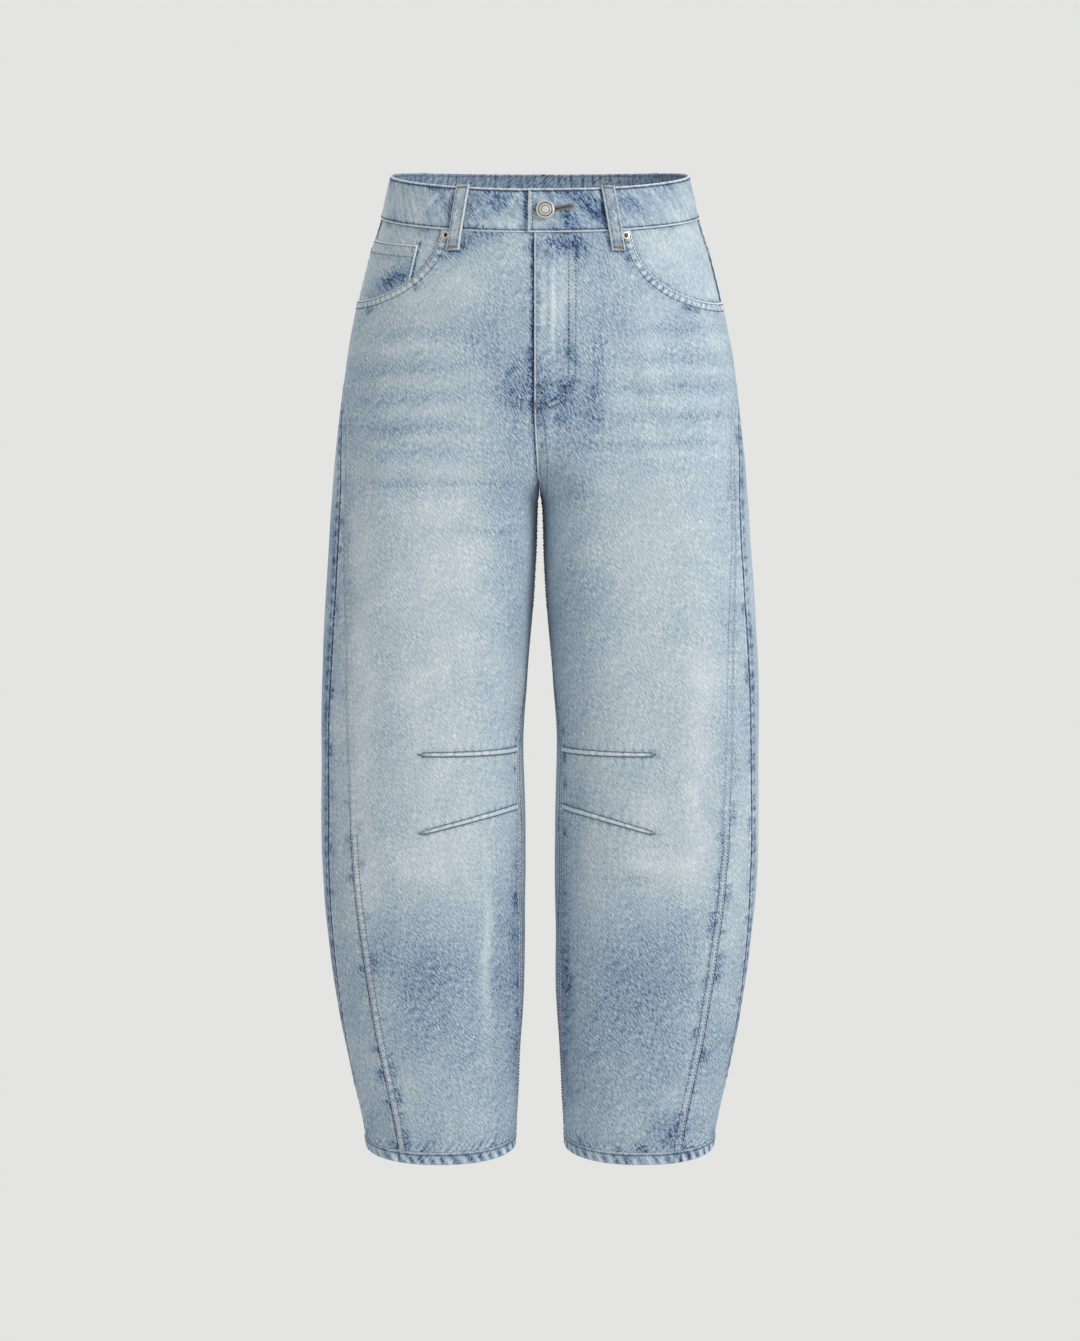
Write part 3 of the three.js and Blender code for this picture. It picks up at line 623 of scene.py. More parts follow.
def lines_of(side, mirror):
    """The seams and edges on and beside the pieces of one side, as lines with their kinds."""

    def line(kind, z, angle):
        return on_cloth(mirror, z, angle), kind

    fly_z = np.linspace(PANEL_TOP, CROTCH, 140)
    back_z = np.linspace(yoke_seam(0.0), PANEL_FOOT, 400)
    seat_z = np.linspace(yoke_seam(PI / 2), CROTCH, 120)
    yoke_a = np.linspace(0, PI / 2, 120)
    panel_a = panel_seam(heights_side)
    front = [
        line(pocket_edge, *mouth_line(side)),
        line(faded(felled), heights_side, panel_a - gap_angle(heights_side)),
        line(tucked, heights_leg, inner_front(heights_leg)),
        line(above_hem, PANEL_FOOT, np.linspace(-PI, 0, 200)),
        line(under_band, PANEL_TOP, np.linspace(-1.7, -0.85, 90)),
    ]
    front += [line(dart_side, *dart_line(mirror, name)[:2]) for name in DARTS]
    facing = [
        line(under_band, PANEL_TOP, np.linspace(-1.1, 0, 90)),
        line(tucked, np.linspace(PANEL_TOP, -118, 60), 0.0),
    ]
    if mirror > 0:
        front.append(line(fly_edge, fly_z, lapped_front(fly_z)))
        front += [line(stitched, *place_front(mirror, *curve)) for curve in FLY_CURVES]
    else:
        front.append(line(tucked, fly_z, inner_front(fly_z)))
        front.append((on_cloth(1, fly_z, lapped_front(fly_z)), shadowed))
        facing.append(line(coin_side, np.linspace(COIN_TOP + 2, -104, 60), -COIN_TURN))
    return {
        f"front_{side}": front,
        f"side_{side}": [
            line(faded(tucked), heights_side, panel_a),
            line(outseam_edge, heights_side, outseam(heights_side)),
            line(above_hem, PANEL_FOOT, np.linspace(-PI, PI, 300)),
        ],
        f"back_{side}": [
            line(blue_strip_and_seam_shadow, back_z, outseam(back_z)),
            line(felled, heights_leg, PI + inseam_turn(heights_leg)),
            line(felled if mirror > 0 else tucked, seat_z, inner_back(seat_z)),
            line(tucked, yoke_seam(yoke_a), yoke_a),
            line(above_hem, PANEL_FOOT, np.linspace(-1, 4.6, 300)),
        ],
        f"yoke_{side}": [
            line(felled, yoke_seam(yoke_a), yoke_a),
            line(under_band, PANEL_TOP, yoke_a),
            line(tucked, np.linspace(PANEL_TOP, -100, 40), 0.0),
        ],
        f"pocket_facing_{side}": facing,
    }


LINES = {piece: lines for place in SIDES for piece, lines in lines_of(*place).items()}

# Where the wash is paler or bluer than around it, and a few painted shadows under and beside the belt
# loops, as seen in the picture from the front, in its pixels: place, half sizes, amount and lean. The back
# has similar ones, seen from behind.
FRONT_WASH_AND_SHADE = [
    [450, 620, 60, 190, 0.14, 0],
    [425, 700, 40, 150, 0.06, 0],
    [440, 860, 70, 60, 0.10, 0],
    [702, 690, 15, 140, 0.09, 0],
    [366, 600, 12, 90, 0.04, 0],
    [696, 800, 13, 90, 0.10, 0],
    [660, 640, 60, 180, 0.09, 0],
    [650, 840, 60, 60, 0.10, 0],
    [655, 530, 50, 50, 0.10, 0],
    [360, 720, 14, 260, 0.16, 0],
    [327, 690, 7, 250, -0.20, 0],
    [497, 350, 26, 40, -0.14, 0.2],
    [515, 400, 16, 34, -0.20, 0.1],
    [524, 330, 9, 60, -0.06, 0],
    [596, 356, 8, 56, -0.14, -0.1],
    [594, 412, 12, 24, -0.18, 0],
    [556, 388, 24, 22, -0.32, 0],
    [558, 346, 14, 14, -0.12, 0],
    [545, 400, 6, 26, -0.16, 0],
    [565, 418, 18, 18, -0.14, 0],
    [556, 300, 18, 36, 0.10, 0],
    [543, 300, 1.8, 40, 0.16, 0],
    [548, 300, 1.8, 40, -0.16, 0],
    [553, 300, 1.8, 40, 0.16, 0],
    [559, 300, 1.8, 38, -0.16, 0],
    [564, 300, 1.8, 38, 0.14, 0],
    [556, 247, 28, 12, -0.42, 0],
    [588, 258, 16, 20, -0.20, 0],
    [604, 330, 14, 60, -0.08, -0.1],
    [466, 238, 12, 10, -0.28, 0],
    # Painted shadows under the feet of the belt loops and beside them
    [452, 251, 8, 2, -0.50, 0],
    [618, 251, 8, 2, -0.50, 0],
    [610, 243, 2, 8, -0.50, 0.165],
    [464, 243, 2.5, 7, -0.35, 0],
    [456, 250, 8, 12, -0.12, -0.6],
    [420, 300, 36, 30, 0.12, 0],
    [470, 290, 30, 30, 0.08, 0],
    [650, 284, 20, 12, -0.18, 0.5],
    [700, 270, 30, 34, -0.05, 0],
    [680, 400, 60, 60, 0.03, 0],
    [398, 277, 10, 9, -0.42, -0.5],
    [400, 334, 56, 6, -0.06, 0],
    [410, 348, 60, 6, 0.09, 0],
    [405, 368, 56, 6, -0.11, 0],
    [405, 382, 60, 6, 0.05, 0],
    [410, 397, 60, 6, -0.07, 0],
    [415, 411, 60, 6, 0.08, 0],
    [410, 428, 60, 6, -0.10, 0],
    [415, 441, 62, 5, 0.08, 0],
    [420, 453, 64, 4, -0.04, 0],
    [425, 470, 70, 8, 0.10, 0],
    [440, 484, 90, 3, -0.11, 0],
    [492, 531, 45, 3, -0.11, 0],
    [420, 508, 70, 14, 0.04, 0],
    [690, 300, 50, 20, 0.04, 0],
    [680, 329, 55, 5, -0.10, 0],
    [685, 342, 55, 6, 0.06, 0],
    [675, 359, 60, 5, -0.09, 0],
    [680, 371, 60, 5, 0.12, 0],
    [675, 388, 62, 5, -0.11, 0],
    [680, 402, 62, 5, 0.08, 0],
    [672, 416, 62, 6, -0.10, 0],
    [680, 433, 62, 7, 0.09, 0],
    [670, 444, 60, 3, -0.06, 0],
    [670, 454, 60, 5, 0.10, 0],
    [590, 446, 40, 6, -0.08, 0],
    [571, 300, 6, 40, 0.08, 0],
    [512, 600, 14, 130, -0.06, 0],
    [500, 520, 22, 60, -0.06, 0],
    [563, 560, 12, 120, 0.03, 0],
    [566, 730, 10, 120, -0.04, 0],
    [563, 615, 10, 40, -0.07, 0],
    [560, 690, 9, 40, -0.06, 0],
    [570, 850, 14, 60, -0.12, 0],
    [590, 620, 20, 60, -0.04, 0],
    [575, 500, 22, 40, -0.08, 0],
    [395, 960, 40, 50, -0.08, 0],
    [450, 1000, 60, 50, -0.08, 0.3],
    [500, 950, 14, 70, -0.08, 0],
    [488, 960, 6, 80, 0.30, 0],
    [516, 910, 5, 60, -0.22, 0],
    [516, 1080, 5, 60, -0.12, 0],
    [440, 1075, 60, 60, 0.06, 0],
    [660, 960, 60, 60, 0.04, 0],
    [380, 1020, 16, 50, 0.10, 0],
    [640, 960, 50, 60, -0.08, 0],
    [660, 1010, 60, 50, -0.07, -0.3],
    [600, 1000, 26, 90, -0.06, 0],
    [566, 960, 6, 60, -0.22, 0],
    [566, 1060, 6, 70, -0.16, 0],
    [590, 920, 16, 60, 0.10, 0],
    [700, 1000, 10, 90, 0.14, -0.2],
    [736, 900, 12, 90, 0.10, -0.1],
    [668, 1128, 16, 14, -0.34, 0],
    [668, 880, 30, 40, 0.07, 0],
    [645, 866, 26, 5, 0.09, 0.4],
    [660, 846, 24, 4, -0.10, 0.4],
    [640, 880, 22, 4, -0.10, 0.4],
]
BACK_WASH = [
    [450, 640, 60, 190, 0.18, 0],
    [650, 640, 60, 190, 0.18, 0],
    [450, 330, 56, 60, 0.14, 0],
    [640, 330, 56, 60, 0.14, 0],
    [450, 480, 70, 10, -0.14, 0.1],
    [640, 484, 70, 10, -0.14, -0.1],
    [450, 510, 70, 10, 0.10, 0.1],
    [640, 514, 70, 10, 0.10, -0.1],
    [440, 770, 60, 9, -0.14, 0],
    [650, 776, 60, 9, -0.14, 0],
    [440, 800, 60, 9, 0.10, 0],
    [650, 806, 60, 9, 0.10, 0],
    [540, 380, 16, 90, -0.18, 0],
    [450, 980, 60, 80, -0.16, 0],
    [640, 980, 60, 80, -0.16, 0],
    [515, 900, 10, 200, -0.18, 0],
    [565, 900, 10, 200, -0.18, 0],
]
DOWN_WASH = rising([150, 250, 400, 520, 640, 760, 870, 930, 1010, 1090, 1180],
                   [0.54, 0.60, 0.56, 0.58, 0.60, 0.62, 0.60, 0.54, 0.50, 0.53, 0.55])

# The camera, level with the seat and looking down a little
CAMERA = np.array([0.0, -2590.1, -233.0])
TILT = math.radians(5)
LENS = 71.2
SENSOR = 36
PICTURE = (1080, 1341)


def seen(points):
    """Where points lie in the picture, in its pixels."""
    away = points - CAMERA
    forward = away[..., 1] * math.cos(TILT) - away[..., 2] * math.sin(TILT)
    upward = away[..., 1] * math.sin(TILT) + away[..., 2] * math.cos(TILT)
    scale = LENS / SENSOR * PICTURE[1] / forward
    return PICTURE[0] / 2 + away[..., 0] * scale, PICTURE[1] / 2 - upward * scale


def wash_and_shade_at(points):
    """How pale the cloth is at points, from 0, deep blue, to 1, with the painted shadows in the tables."""
    total = np.zeros(points.shape[:-1])
    ahead = smooth(14, -14, points[..., 1])
    for rows, weight, turn in ((FRONT_WASH_AND_SHADE, ahead, 1), (BACK_WASH, 1 - ahead, -1)):
        px, py = seen(points * np.array([turn, turn, 1]))
        level = DOWN_WASH(py)
        drift = noise(px / 26, py / 26, 21), noise(px / 26, py / 26, 22)
        broken = 1 + 0.55 * noise(px / 11, py / 14, 23) + 0.3 * noise(px / 5, py / 6, 24)
        for x, y, wide, tall, amount, lean in rows:
            loose = min(wide / 12, 1), min(tall / 12, 1)
            x0, y0 = x + 7 * loose[0] * drift[0], y + 6 * loose[1] * drift[1]
            share = broken if amount < -0.12 else 1
            spot = bell(px - x0 - lean * (py - y0), wide) * bell(py - y0, tall)
            level = level + share * amount * spot
        total = total + weight * level
    cloud = noise(points[..., 0] / 34 + 3, points[..., 2] / 46, 11) * 0.05
    cloud = cloud + noise(points[..., 0] / 13, points[..., 2] / 17 + points[..., 1] / 15, 12) * 0.035
    return total + cloud


def effects(piece, mirror, z, angle):
    """The cloth's rise, its wash with painted shade, and how worn it is at places on a piece."""
    points = on_cloth(mirror, z, angle)
    rise = np.zeros(points.shape[:-1])
    wash_and_shade = wash_and_shade_at(points)
    worn = np.zeros(points.shape[:-1])
    for index, (line, kind) in enumerate(LINES.get(piece, [])):
        d, s = nearest(line, points)
        more, change, white = kind(d, s, 31 * index + 7 * mirror + len(piece))
        rise, wash_and_shade, worn = rise + more, wash_and_shade + change, np.maximum(worn, white)
    if piece == "front_left":
        rise = rise + fly_lift(z, angle)
    return rise, wash_and_shade, worn


# Meshes
INNER_STEP = 4
INSIDE_WASH = 0.62
INSIDE_RELIEF = 0.4
made = {}
cuts = {}


def cut_of(grid):
    """A sheet's width, length and area in metres, laid flat, from a grid over it."""
    across = np.linalg.norm(np.diff(grid, axis=0), axis=-1).sum(0).max()
    down = np.linalg.norm(np.diff(grid, axis=1), axis=-1).sum(1).max()
    corner = grid[:-1, :-1]
    area = np.linalg.norm(np.cross(grid[1:, :-1] - corner, grid[:-1, 1:] - corner), axis=-1).sum()
    return float(across * MM), float(down * MM), float(min(area, across * down) * MM * MM)


def straight_cut(grid, depth):
    """The same for a straight band, from its length along the first columns of a grid."""
    length = cut_of(grid[:, :2])[0]
    return length, depth * MM, length * depth * MM


def finish_mesh(name, vertices, faces, uv, attributes, material, crease=50):
    """A smooth mesh in the scene that rides with the part, with sharp edges past the crease's angle."""
    mesh = bpy.data.meshes.new(name)
    mesh.from_pydata((np.asarray(vertices) * MM).tolist(), [], faces)
    loops = np.empty(len(mesh.loops), np.int32)
    mesh.loops.foreach_get("vertex_index", loops)
    layer = mesh.uv_layers.new(name="Cloth")
    layer.data.foreach_set("uv", (np.asarray(uv) * 0.01)[loops].astype(np.float32).ravel())
    for key, values in attributes.items():
        attribute = mesh.attributes.new(key, "FLOAT", "POINT")
        attribute.data.foreach_set("value", np.asarray(values, np.float32).ravel())
    mesh.shade_smooth()
    mesh.set_sharp_from_angle(angle=math.radians(crease))
    mesh.materials.append(material)
    obj = bpy.data.objects.new(name, mesh)
    bpy.context.scene.collection.objects.link(obj)
    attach(obj, "root")
    made[name] = obj
    return obj


def shell(name, mirror, outer, inner, wash_and_shade, worn, material):
    """A closed sheet of cloth from a fine outer and a coarser inner face."""
    cuts[name] = cut_of(outer)
    uv = pattern(outer, mirror)
    n, m = outer.shape[:2]
    rows_i = np.unique(np.append(np.arange(0, n, INNER_STEP), n - 1))
    rows_j = np.unique(np.append(np.arange(0, m, INNER_STEP), m - 1))
    a, b = len(rows_i), len(rows_j)
    inner = inner[np.ix_(rows_i, rows_j)]
    vertices = np.concatenate([outer.reshape(-1, 3), inner.reshape(-1, 3)])
    front = np.arange(n * m).reshape(n, m)
    back = n * m + np.arange(a * b).reshape(a, b)
    quads = np.stack([front[:-1, :-1], front[1:, :-1], front[1:, 1:], front[:-1, 1:]], -1).reshape(-1, 4)
    backs = np.stack([back[:-1, :-1], back[:-1, 1:], back[1:, 1:], back[1:, :-1]], -1).reshape(-1, 4)
    faces = quads.tolist() + backs.tolist()
    for k in range(a - 1):
        span = np.arange(rows_i[k], rows_i[k + 1] + 1)
        faces.append([*front[span[::-1], 0], back[k, 0], back[k + 1, 0]])
        faces.append([*front[span, m - 1], back[k + 1, b - 1], back[k, b - 1]])
    for k in range(b - 1):
        span = np.arange(rows_j[k], rows_j[k + 1] + 1)
        faces.append([*front[0, span], back[0, k + 1], back[0, k]])
        faces.append([*front[n - 1, span[::-1]], back[a - 1, k], back[a - 1, k + 1]])
    corner = outer[:-1, :-1]
    normal = np.cross(outer[1:, :-1] - corner, outer[:-1, 1:] - corner)
    outward = (outer - inner_full(outer, inner, rows_i, rows_j))[:-1, :-1]
    if (normal * outward).sum() < 0:
        faces = [face[::-1] for face in faces]
    uv_all = np.concatenate([uv.reshape(-1, 2), uv[np.ix_(rows_i, rows_j)].reshape(-1, 2)])
    attributes = {
        "wash_and_shade": np.concatenate([wash_and_shade.ravel(), np.full(a * b, INSIDE_WASH)]),
        "worn": np.concatenate([worn.ravel(), np.zeros(a * b)]),
        "inside": np.concatenate([np.zeros(n * m), np.ones(a * b)]),
    }
    return finish_mesh(name, vertices, faces, uv_all, attributes, material)


def inner_full(outer, inner, rows_i, rows_j):
    """The inner face's nearest point for each outer one."""
    near_i = np.clip(np.searchsorted(rows_i, np.arange(outer.shape[0])), 0, len(rows_i) - 1)
    near_j = np.clip(np.searchsorted(rows_j, np.arange(outer.shape[1])), 0, len(rows_j) - 1)
    return inner[np.ix_(near_i, near_j)]


def tube(name, grid, uv, attributes, material, joined, crease=50):
    """A closed solid from sections along a way, joined end to end or capped."""
    n, k = grid.shape[:2]
    index = np.arange(n * k).reshape(n, k)
    ahead = np.roll(index, -1, 0) if joined else index[1:]
    here = index if joined else index[:-1]
    quads = np.stack([here, ahead, np.roll(ahead, -1, 1), np.roll(here, -1, 1)], -1).reshape(-1, 4)
    faces = quads.tolist()
    if not joined:
        faces += [index[0].tolist(), index[-1][::-1].tolist()]
    points = grid.reshape(-1, 3)
    middle = grid.mean(1)
    corner = points[quads[:, 0]]
    normal = np.cross(points[quads[:, 1]] - corner, points[quads[:, 3]] - corner)
    outward = corner - np.repeat(middle[:len(here)], k, 0)
    if (normal * outward).sum() < 0:
        faces = [face[::-1] for face in faces]
    return finish_mesh(name, points, faces, uv.reshape(-1, 2), attributes, material, crease)


def way_out(mirror, z, angle):
    """The way straight out of the cloth."""
    here = on_cloth(mirror, z, angle)
    up = on_cloth(mirror, np.asarray(z) + 1.5, angle) - here
    along = (on_cloth(mirror, z, np.asarray(angle) + 0.015) - here) * mirror
    return unit(np.cross(along, up))


# Materials
def linear(*rgb):
    return [(c / 255 / 12.92) if c <= 10 else ((c / 255 + 0.055) / 1.055) ** 2.4 for c in rgb]


LIGHT = 0.90


def shade(*rgb):
    """A colour as it is to look in the light of the scene."""
    return [min(c / LIGHT, 1) for c in linear(*rgb)] + [1]


class Nodes:
    """Short ways to add the nodes of a material."""

    def __init__(self, name):
        self.material = bpy.data.materials.new(name)
        self.material.use_nodes = True
        tree = self.material.node_tree
        self.nodes, self.links = tree.nodes, tree.links
        self.shader = self.nodes["Principled BSDF"]

    def feed(self, socket, value):
        if isinstance(value, bpy.types.NodeSocket):
            self.links.new(value, socket)
        else:
            socket.default_value = value

    def add(self, kind, output, inputs, **settings):
        """One output of a new node, after its settings and inputs are filled in."""
        node = self.nodes.new("ShaderNode" + kind)
        for key, value in settings.items():
            setattr(node, key, value)
        for key, value in inputs.items():
            self.feed(node.inputs[key], value)
        return node.outputs[output]

    def attribute(self, key):
        return self.add("Attribute", "Fac", {}, attribute_name=key)

    def cloth(self):
        return self.add("UVMap", "UV", {}, uv_map="Cloth")

    def mapped(self, vector, turn, length, width, seed):
        """A texture's place on the cloth, turned and stretched to a length and width in millimetres."""
        return self.add("Mapping", "Vector", {
            "Vector": vector,
            "Location": (seed, seed * 0.7, seed),
            "Rotation": (0, 0, math.radians(turn)),
            "Scale": (length * 0.01, width * 0.01, 1),
        }, vector_type="TEXTURE")

    def speckle(self, vector, size=1.0, detail=1.0):
        return self.add("TexNoise", "Fac", {"Vector": vector, "Scale": size, "Detail": detail})

    def calc(self, kind, a, b):
        return self.add("Math", 0, {0: a, 1: b}, operation=kind)

    def swing(self, value, amount):
        """A noise from 0 to 1 as a change of up to half the amount either way."""
        return self.calc("MULTIPLY", self.calc("SUBTRACT", value, 0.5), amount)

    def crisp(self, value, low, high):
        reach = {"Value": value, "From Min": low, "From Max": high}
        return self.add("MapRange", "Result", reach, interpolation_type="SMOOTHSTEP")

    def ramp(self, value, stops):
        node = self.nodes.new("ShaderNodeValToRGB")
        self.links.new(value, node.inputs["Fac"])
        while len(node.color_ramp.elements) < len(stops):
            node.color_ramp.elements.new(0.5)
        for element, (at, rgb) in zip(node.color_ramp.elements, stops):
            element.position = at
            element.color = shade(*rgb)
        return node.outputs["Color"]

    def blend(self, amount, colour, other):
        return self.add("Mix", 2, {0: amount, 6: colour, 7: other}, data_type="RGBA")

    def relief(self, height, strength, depth):
        bump = {"Strength": strength, "Distance": depth * MM, "Height": height}
        self.feed(self.shader.inputs["Normal"], self.add("Bump", "Normal", bump))

    def finish(self, colour, rough, metal=0.0, specular=0.5):
        for key, value in (("Base Color", colour), ("Roughness", rough), ("Metallic", metal),
                           ("Specular IOR Level", specular)):
            self.feed(self.shader.inputs[key], value)
        return self.material


def denim(name, stops, streak=1.0, offset=0.0, seed=0.0):
    """Twill denim: short slanted streaks over a wash, with painted shade in it, that runs from deep blue to
    pale.
    """
    made_of = Nodes(name)
    cloth, calc, swing = made_of.cloth(), made_of.calc, made_of.swing

    def flecks(turn, length, width, number, detail=1.0):
        return made_of.speckle(made_of.mapped(cloth, turn, length, width, seed + number), detail=detail)

    dashes = made_of.crisp(flecks(-56, 5.8, 1.2, 0), 0.37, 0.63)
    short = made_of.crisp(flecks(-52, 2.8, 1.0, 1), 0.36, 0.64)
    slub = flecks(90, 34, 1.2, 2)
    patch = flecks(-60, 24, 13, 3, detail=3.0)
    cloud = flecks(20, 70, 46, 4, detail=3.0)
    pepper = made_of.crisp(flecks(0, 1.25, 1.25, 5), 0.3, 0.7)
    grain = calc("ADD", swing(dashes, 0.80), swing(short, 0.60))
    grain = calc("ADD", calc("ADD", grain, swing(slub, 0.40)), swing(pepper, 0.32))
    # The wash with its painted shade, read from the mesh
    wash_and_shade = made_of.attribute("wash_and_shade")
    patchy = calc("ADD", calc("MULTIPLY", patch, 0.9), 0.55)
    contrast = calc("MULTIPLY", calc("SUBTRACT", 1.12, wash_and_shade), patchy)
    level = calc("ADD", wash_and_shade, calc("MULTIPLY", calc("MULTIPLY", grain, contrast), 0.66 * streak))
    level = calc("ADD", level, swing(patch, 0.13))
    level = calc("ADD", calc("ADD", level, swing(cloud, 0.20)), offset)
    colour = made_of.blend(made_of.attribute("worn"), made_of.ramp(level, stops), shade(*WORN_WHITE))
    weft = made_of.blend(dashes, shade(*WEFT_DARK), shade(*WEFT_PALE))
    reverse = calc("MULTIPLY", made_of.attribute("inside"), 0.6)
    colour = made_of.blend(reverse, colour, weft)
    made_of.relief(grain, 0.3, 0.5)
    return made_of.finish(colour, 0.92, specular=0.15)


WASHED = [
    (0.00, (46, 64, 98)),
    (0.09, (80, 104, 141)),
    (0.22, (110, 132, 158)),
    (0.42, (139, 158, 175)),
    (0.64, (169, 184, 193)),
    (0.84, (195, 204, 208)),
    (1.00, (220, 225, 225)),
]
GREYED = [
    (0.00, (70, 84, 106)),
    (0.22, (112, 128, 146)),
    (0.50, (150, 163, 174)),
    (0.75, (180, 189, 195)),
    (1.00, (212, 217, 218)),
]
WORN_WHITE = (232, 235, 234)
WEFT_DARK = (164, 174, 186)
WEFT_PALE = (208, 213, 217)


def thread_cloth(name, dark, light):
    """Sewing thread: two tones of one dye, with the fine lay of its strands."""
    made_of = Nodes(name)
    where = made_of.add("TexCoord", "Object", {})
    tone = made_of.speckle(where, 260.0, 2.0)
    strands = made_of.speckle(where, 2400.0, 1.0)
    made_of.relief(strands, 0.5, 0.1)
    return made_of.finish(made_of.blend(tone, shade(*dark), shade(*light)), 0.75, specular=0.3)


def metal_of(name, dark, light, rough):
    """Cast metal, a little duller and darker in patches where it has been handled."""
    made_of = Nodes(name)
    where = made_of.add("TexCoord", "Object", {})
    smudge = made_of.speckle(where, 420.0, 3.0)
    pits = made_of.speckle(where, 2200.0, 2.0)
    made_of.relief(pits, 0.25, 0.08)
    dull = made_of.calc("ADD", rough - 0.08, made_of.calc("MULTIPLY", smudge, 0.16))
    return made_of.finish(made_of.blend(smudge, shade(*dark), shade(*light)), dull, metal=0.85)


PANELS = denim("Denim", WASHED)
BAND = denim("Waistband denim", WASHED, streak=0.8, seed=3.1)
FACING = denim("Facing denim", WASHED, streak=0.75, offset=0.03, seed=5.7)
HEMS = denim("Hem denim", WASHED, streak=0.8, offset=-0.02, seed=8.3)
LOOP_CLOTH = denim("Loop denim", GREYED, seed=2.2)
THREAD = thread_cloth("Grey thread", (68, 74, 86), (108, 111, 118))
PALE_THREAD = thread_cloth("Faded thread", (146, 154, 160), (184, 190, 192))
TAN = thread_cloth("Tan thread", (116, 106, 92), (156, 146, 130))
BUTTON = metal_of("Button metal", (190, 188, 184), (230, 228, 222), 0.36)
RIVET = metal_of("Rivet metal", (186, 182, 174), (224, 220, 212), 0.38)
DARK = metal_of("Dark metal", (52, 47, 42), (84, 77, 70), 0.5)
# A dark strip standing in for the shaded opening of the buttonhole: painted shade
SLIT_SHADE = thread_cloth("Buttonhole slit", (44, 48, 60), (70, 76, 90))
# Dark thread for the darts, also used as a painted shadow line under each dart's fold
SEAM_SHADE = thread_cloth("Dart thread and shadow line", (84, 100, 118), (120, 134, 148))


# Panels
def refined(stops, spacing, fine=(0.35, 0.8, 1.4), both=(True, True)):
    """Places along a way between its ends, closer together near the ends."""
    start, stop = stops
    length = stop - start
    inner = np.linspace(0, abs(length), max(int(round(abs(length) / spacing)), 2) + 1)
    near = [f for f in fine if f < abs(length) / 3]
    places = set(inner.tolist())
    if both[0]:
        places = {p for p in places if p == 0 or p > (near[-1] if near else 0) + spacing * 0.3} | set(near)
    if both[1]:
        far = abs(length)
        last = far - (near[-1] if near else 0) - spacing * 0.3
        places = {p for p in places if p >= far - 1e-9 or p < last}
        places |= {far - p for p in near}
    return start + np.sign(length) * np.array(sorted(places))


def pattern(points, mirror):
    """Pattern coordinates: across by the way along each row, down by the height."""
    step = np.linalg.norm(np.diff(points, axis=0), axis=-1)
    across = np.concatenate([np.zeros((1, points.shape[1])), np.cumsum(step, 0)])
    plumb_x = 60
    plumb = np.argmin(np.abs(np.abs(points[..., 0]) - plumb_x), axis=0)
    column = np.arange(points.shape[1])
    outwards = np.sign(np.abs(points[-1, :, 0]) - np.abs(points[0, :, 0]))
    start = across[plumb, column] - (np.abs(points[plumb, column, 0]) - plumb_x) * outwards
    return np.stack([mirror * (across - start), points[..., 2]], -1)


def heights_down(top, blend, spacing):
    """Heights from a panel's top edge to its foot, closer together at both ends."""
    upper = refined((top, blend), spacing, both=(True, False))
    lower = refined((blend, PANEL_FOOT), spacing, both=(False, True))
    return np.concatenate([upper, lower[1:]])


def panel(name, mirror, angles, tops, heights, blend, angles_inner):
    """A panel whose rows above blend are stretched to meet its top edge."""
    down = (heights[0] - heights) / (heights[0] - blend)
    z = np.where(heights[None] > blend, mix(tops[:, None], blend, down[None]), heights[None])
    angle = angles(z)
    rise, wash_and_shade, worn = effects(name, mirror, z, angle)
    outer = on_cloth(mirror, z, angle, rise)
    inner_angle = angles_inner(z)
    raised = fly_lift(z, inner_angle) if name == "front_left" else 0.0
    inner = on_cloth(mirror, z, inner_angle, raised - CLOTH)
    obj = shell(name, mirror, outer, inner, wash_and_shade, worn, PANELS)
    cuts[name] = cut_of(on_cloth(mirror, z, angle))
    return obj


def front_panel(side, mirror):
    mouth = MOUTHS[side]
    name = f"front_{side}"
    edge = lapped_front if mirror > 0 else inner_front

    def keys(z, lift):
        """Angles of the inner edge, two lines beside the fly and the outer seam."""
        first = edge(z, lift)
        last = panel_seam(z) - gap_angle(z)
        near = []
        for x, share in zip((7, 16), FLY_COLUMNS):
            near.append(mix(mix(first, last, share), -angle_at_x(z, lift, x), smooth(-262, -226, z)))
        return first, near[0], near[1], last

    weights = [(1 - t, t, 0, 0) for t in refined((0, 11), FRONT_STEP, both=(True, False)) / 11]
    weights += [(0, 1 - t, t, 0) for t in np.linspace(0, 1, 6)[1:]]
    tops = [PANEL_TOP] * len(weights)
    before_mouth = np.linspace(90, mouth["angle"], 22)[3:]
    mouth_turn = np.degrees(-mouth_line(side)[1])
    in_mouth = np.interp(np.linspace(0, 1, 54)[:-1], np.linspace(0, 1, len(mouth_turn)), mouth_turn)
    turns = np.unique(np.concatenate([before_mouth, in_mouth, [0.75, 0.45, 0.2, 0.0]]))[::-1]
    kept = [turns[0]]
    for turn in turns[1:]:
        if kept[-1] - turn > 0.14 or turn == 0:
            kept.append(turn)
    for a in np.radians(kept):
        top = float(mouth_height(mouth, a))
        start = -float(keys(np.array(top), 0.0)[2])
        share = 1 - a / start
        if share > 0.004:
            weights.append((0, 0, 1 - share, share))
            tops.append(top)
    weights = np.array(weights)

    def angles(lift):
        return lambda z: sum(w[:, None] * k for w, k in zip(weights.T, keys(z, lift)))

    heights = heights_down(PANEL_TOP, BELOW_POCKET, FRONT_STEP)
    return panel(name, mirror, angles(0.0), np.array(tops), heights, BELOW_POCKET, angles(-CLOTH))


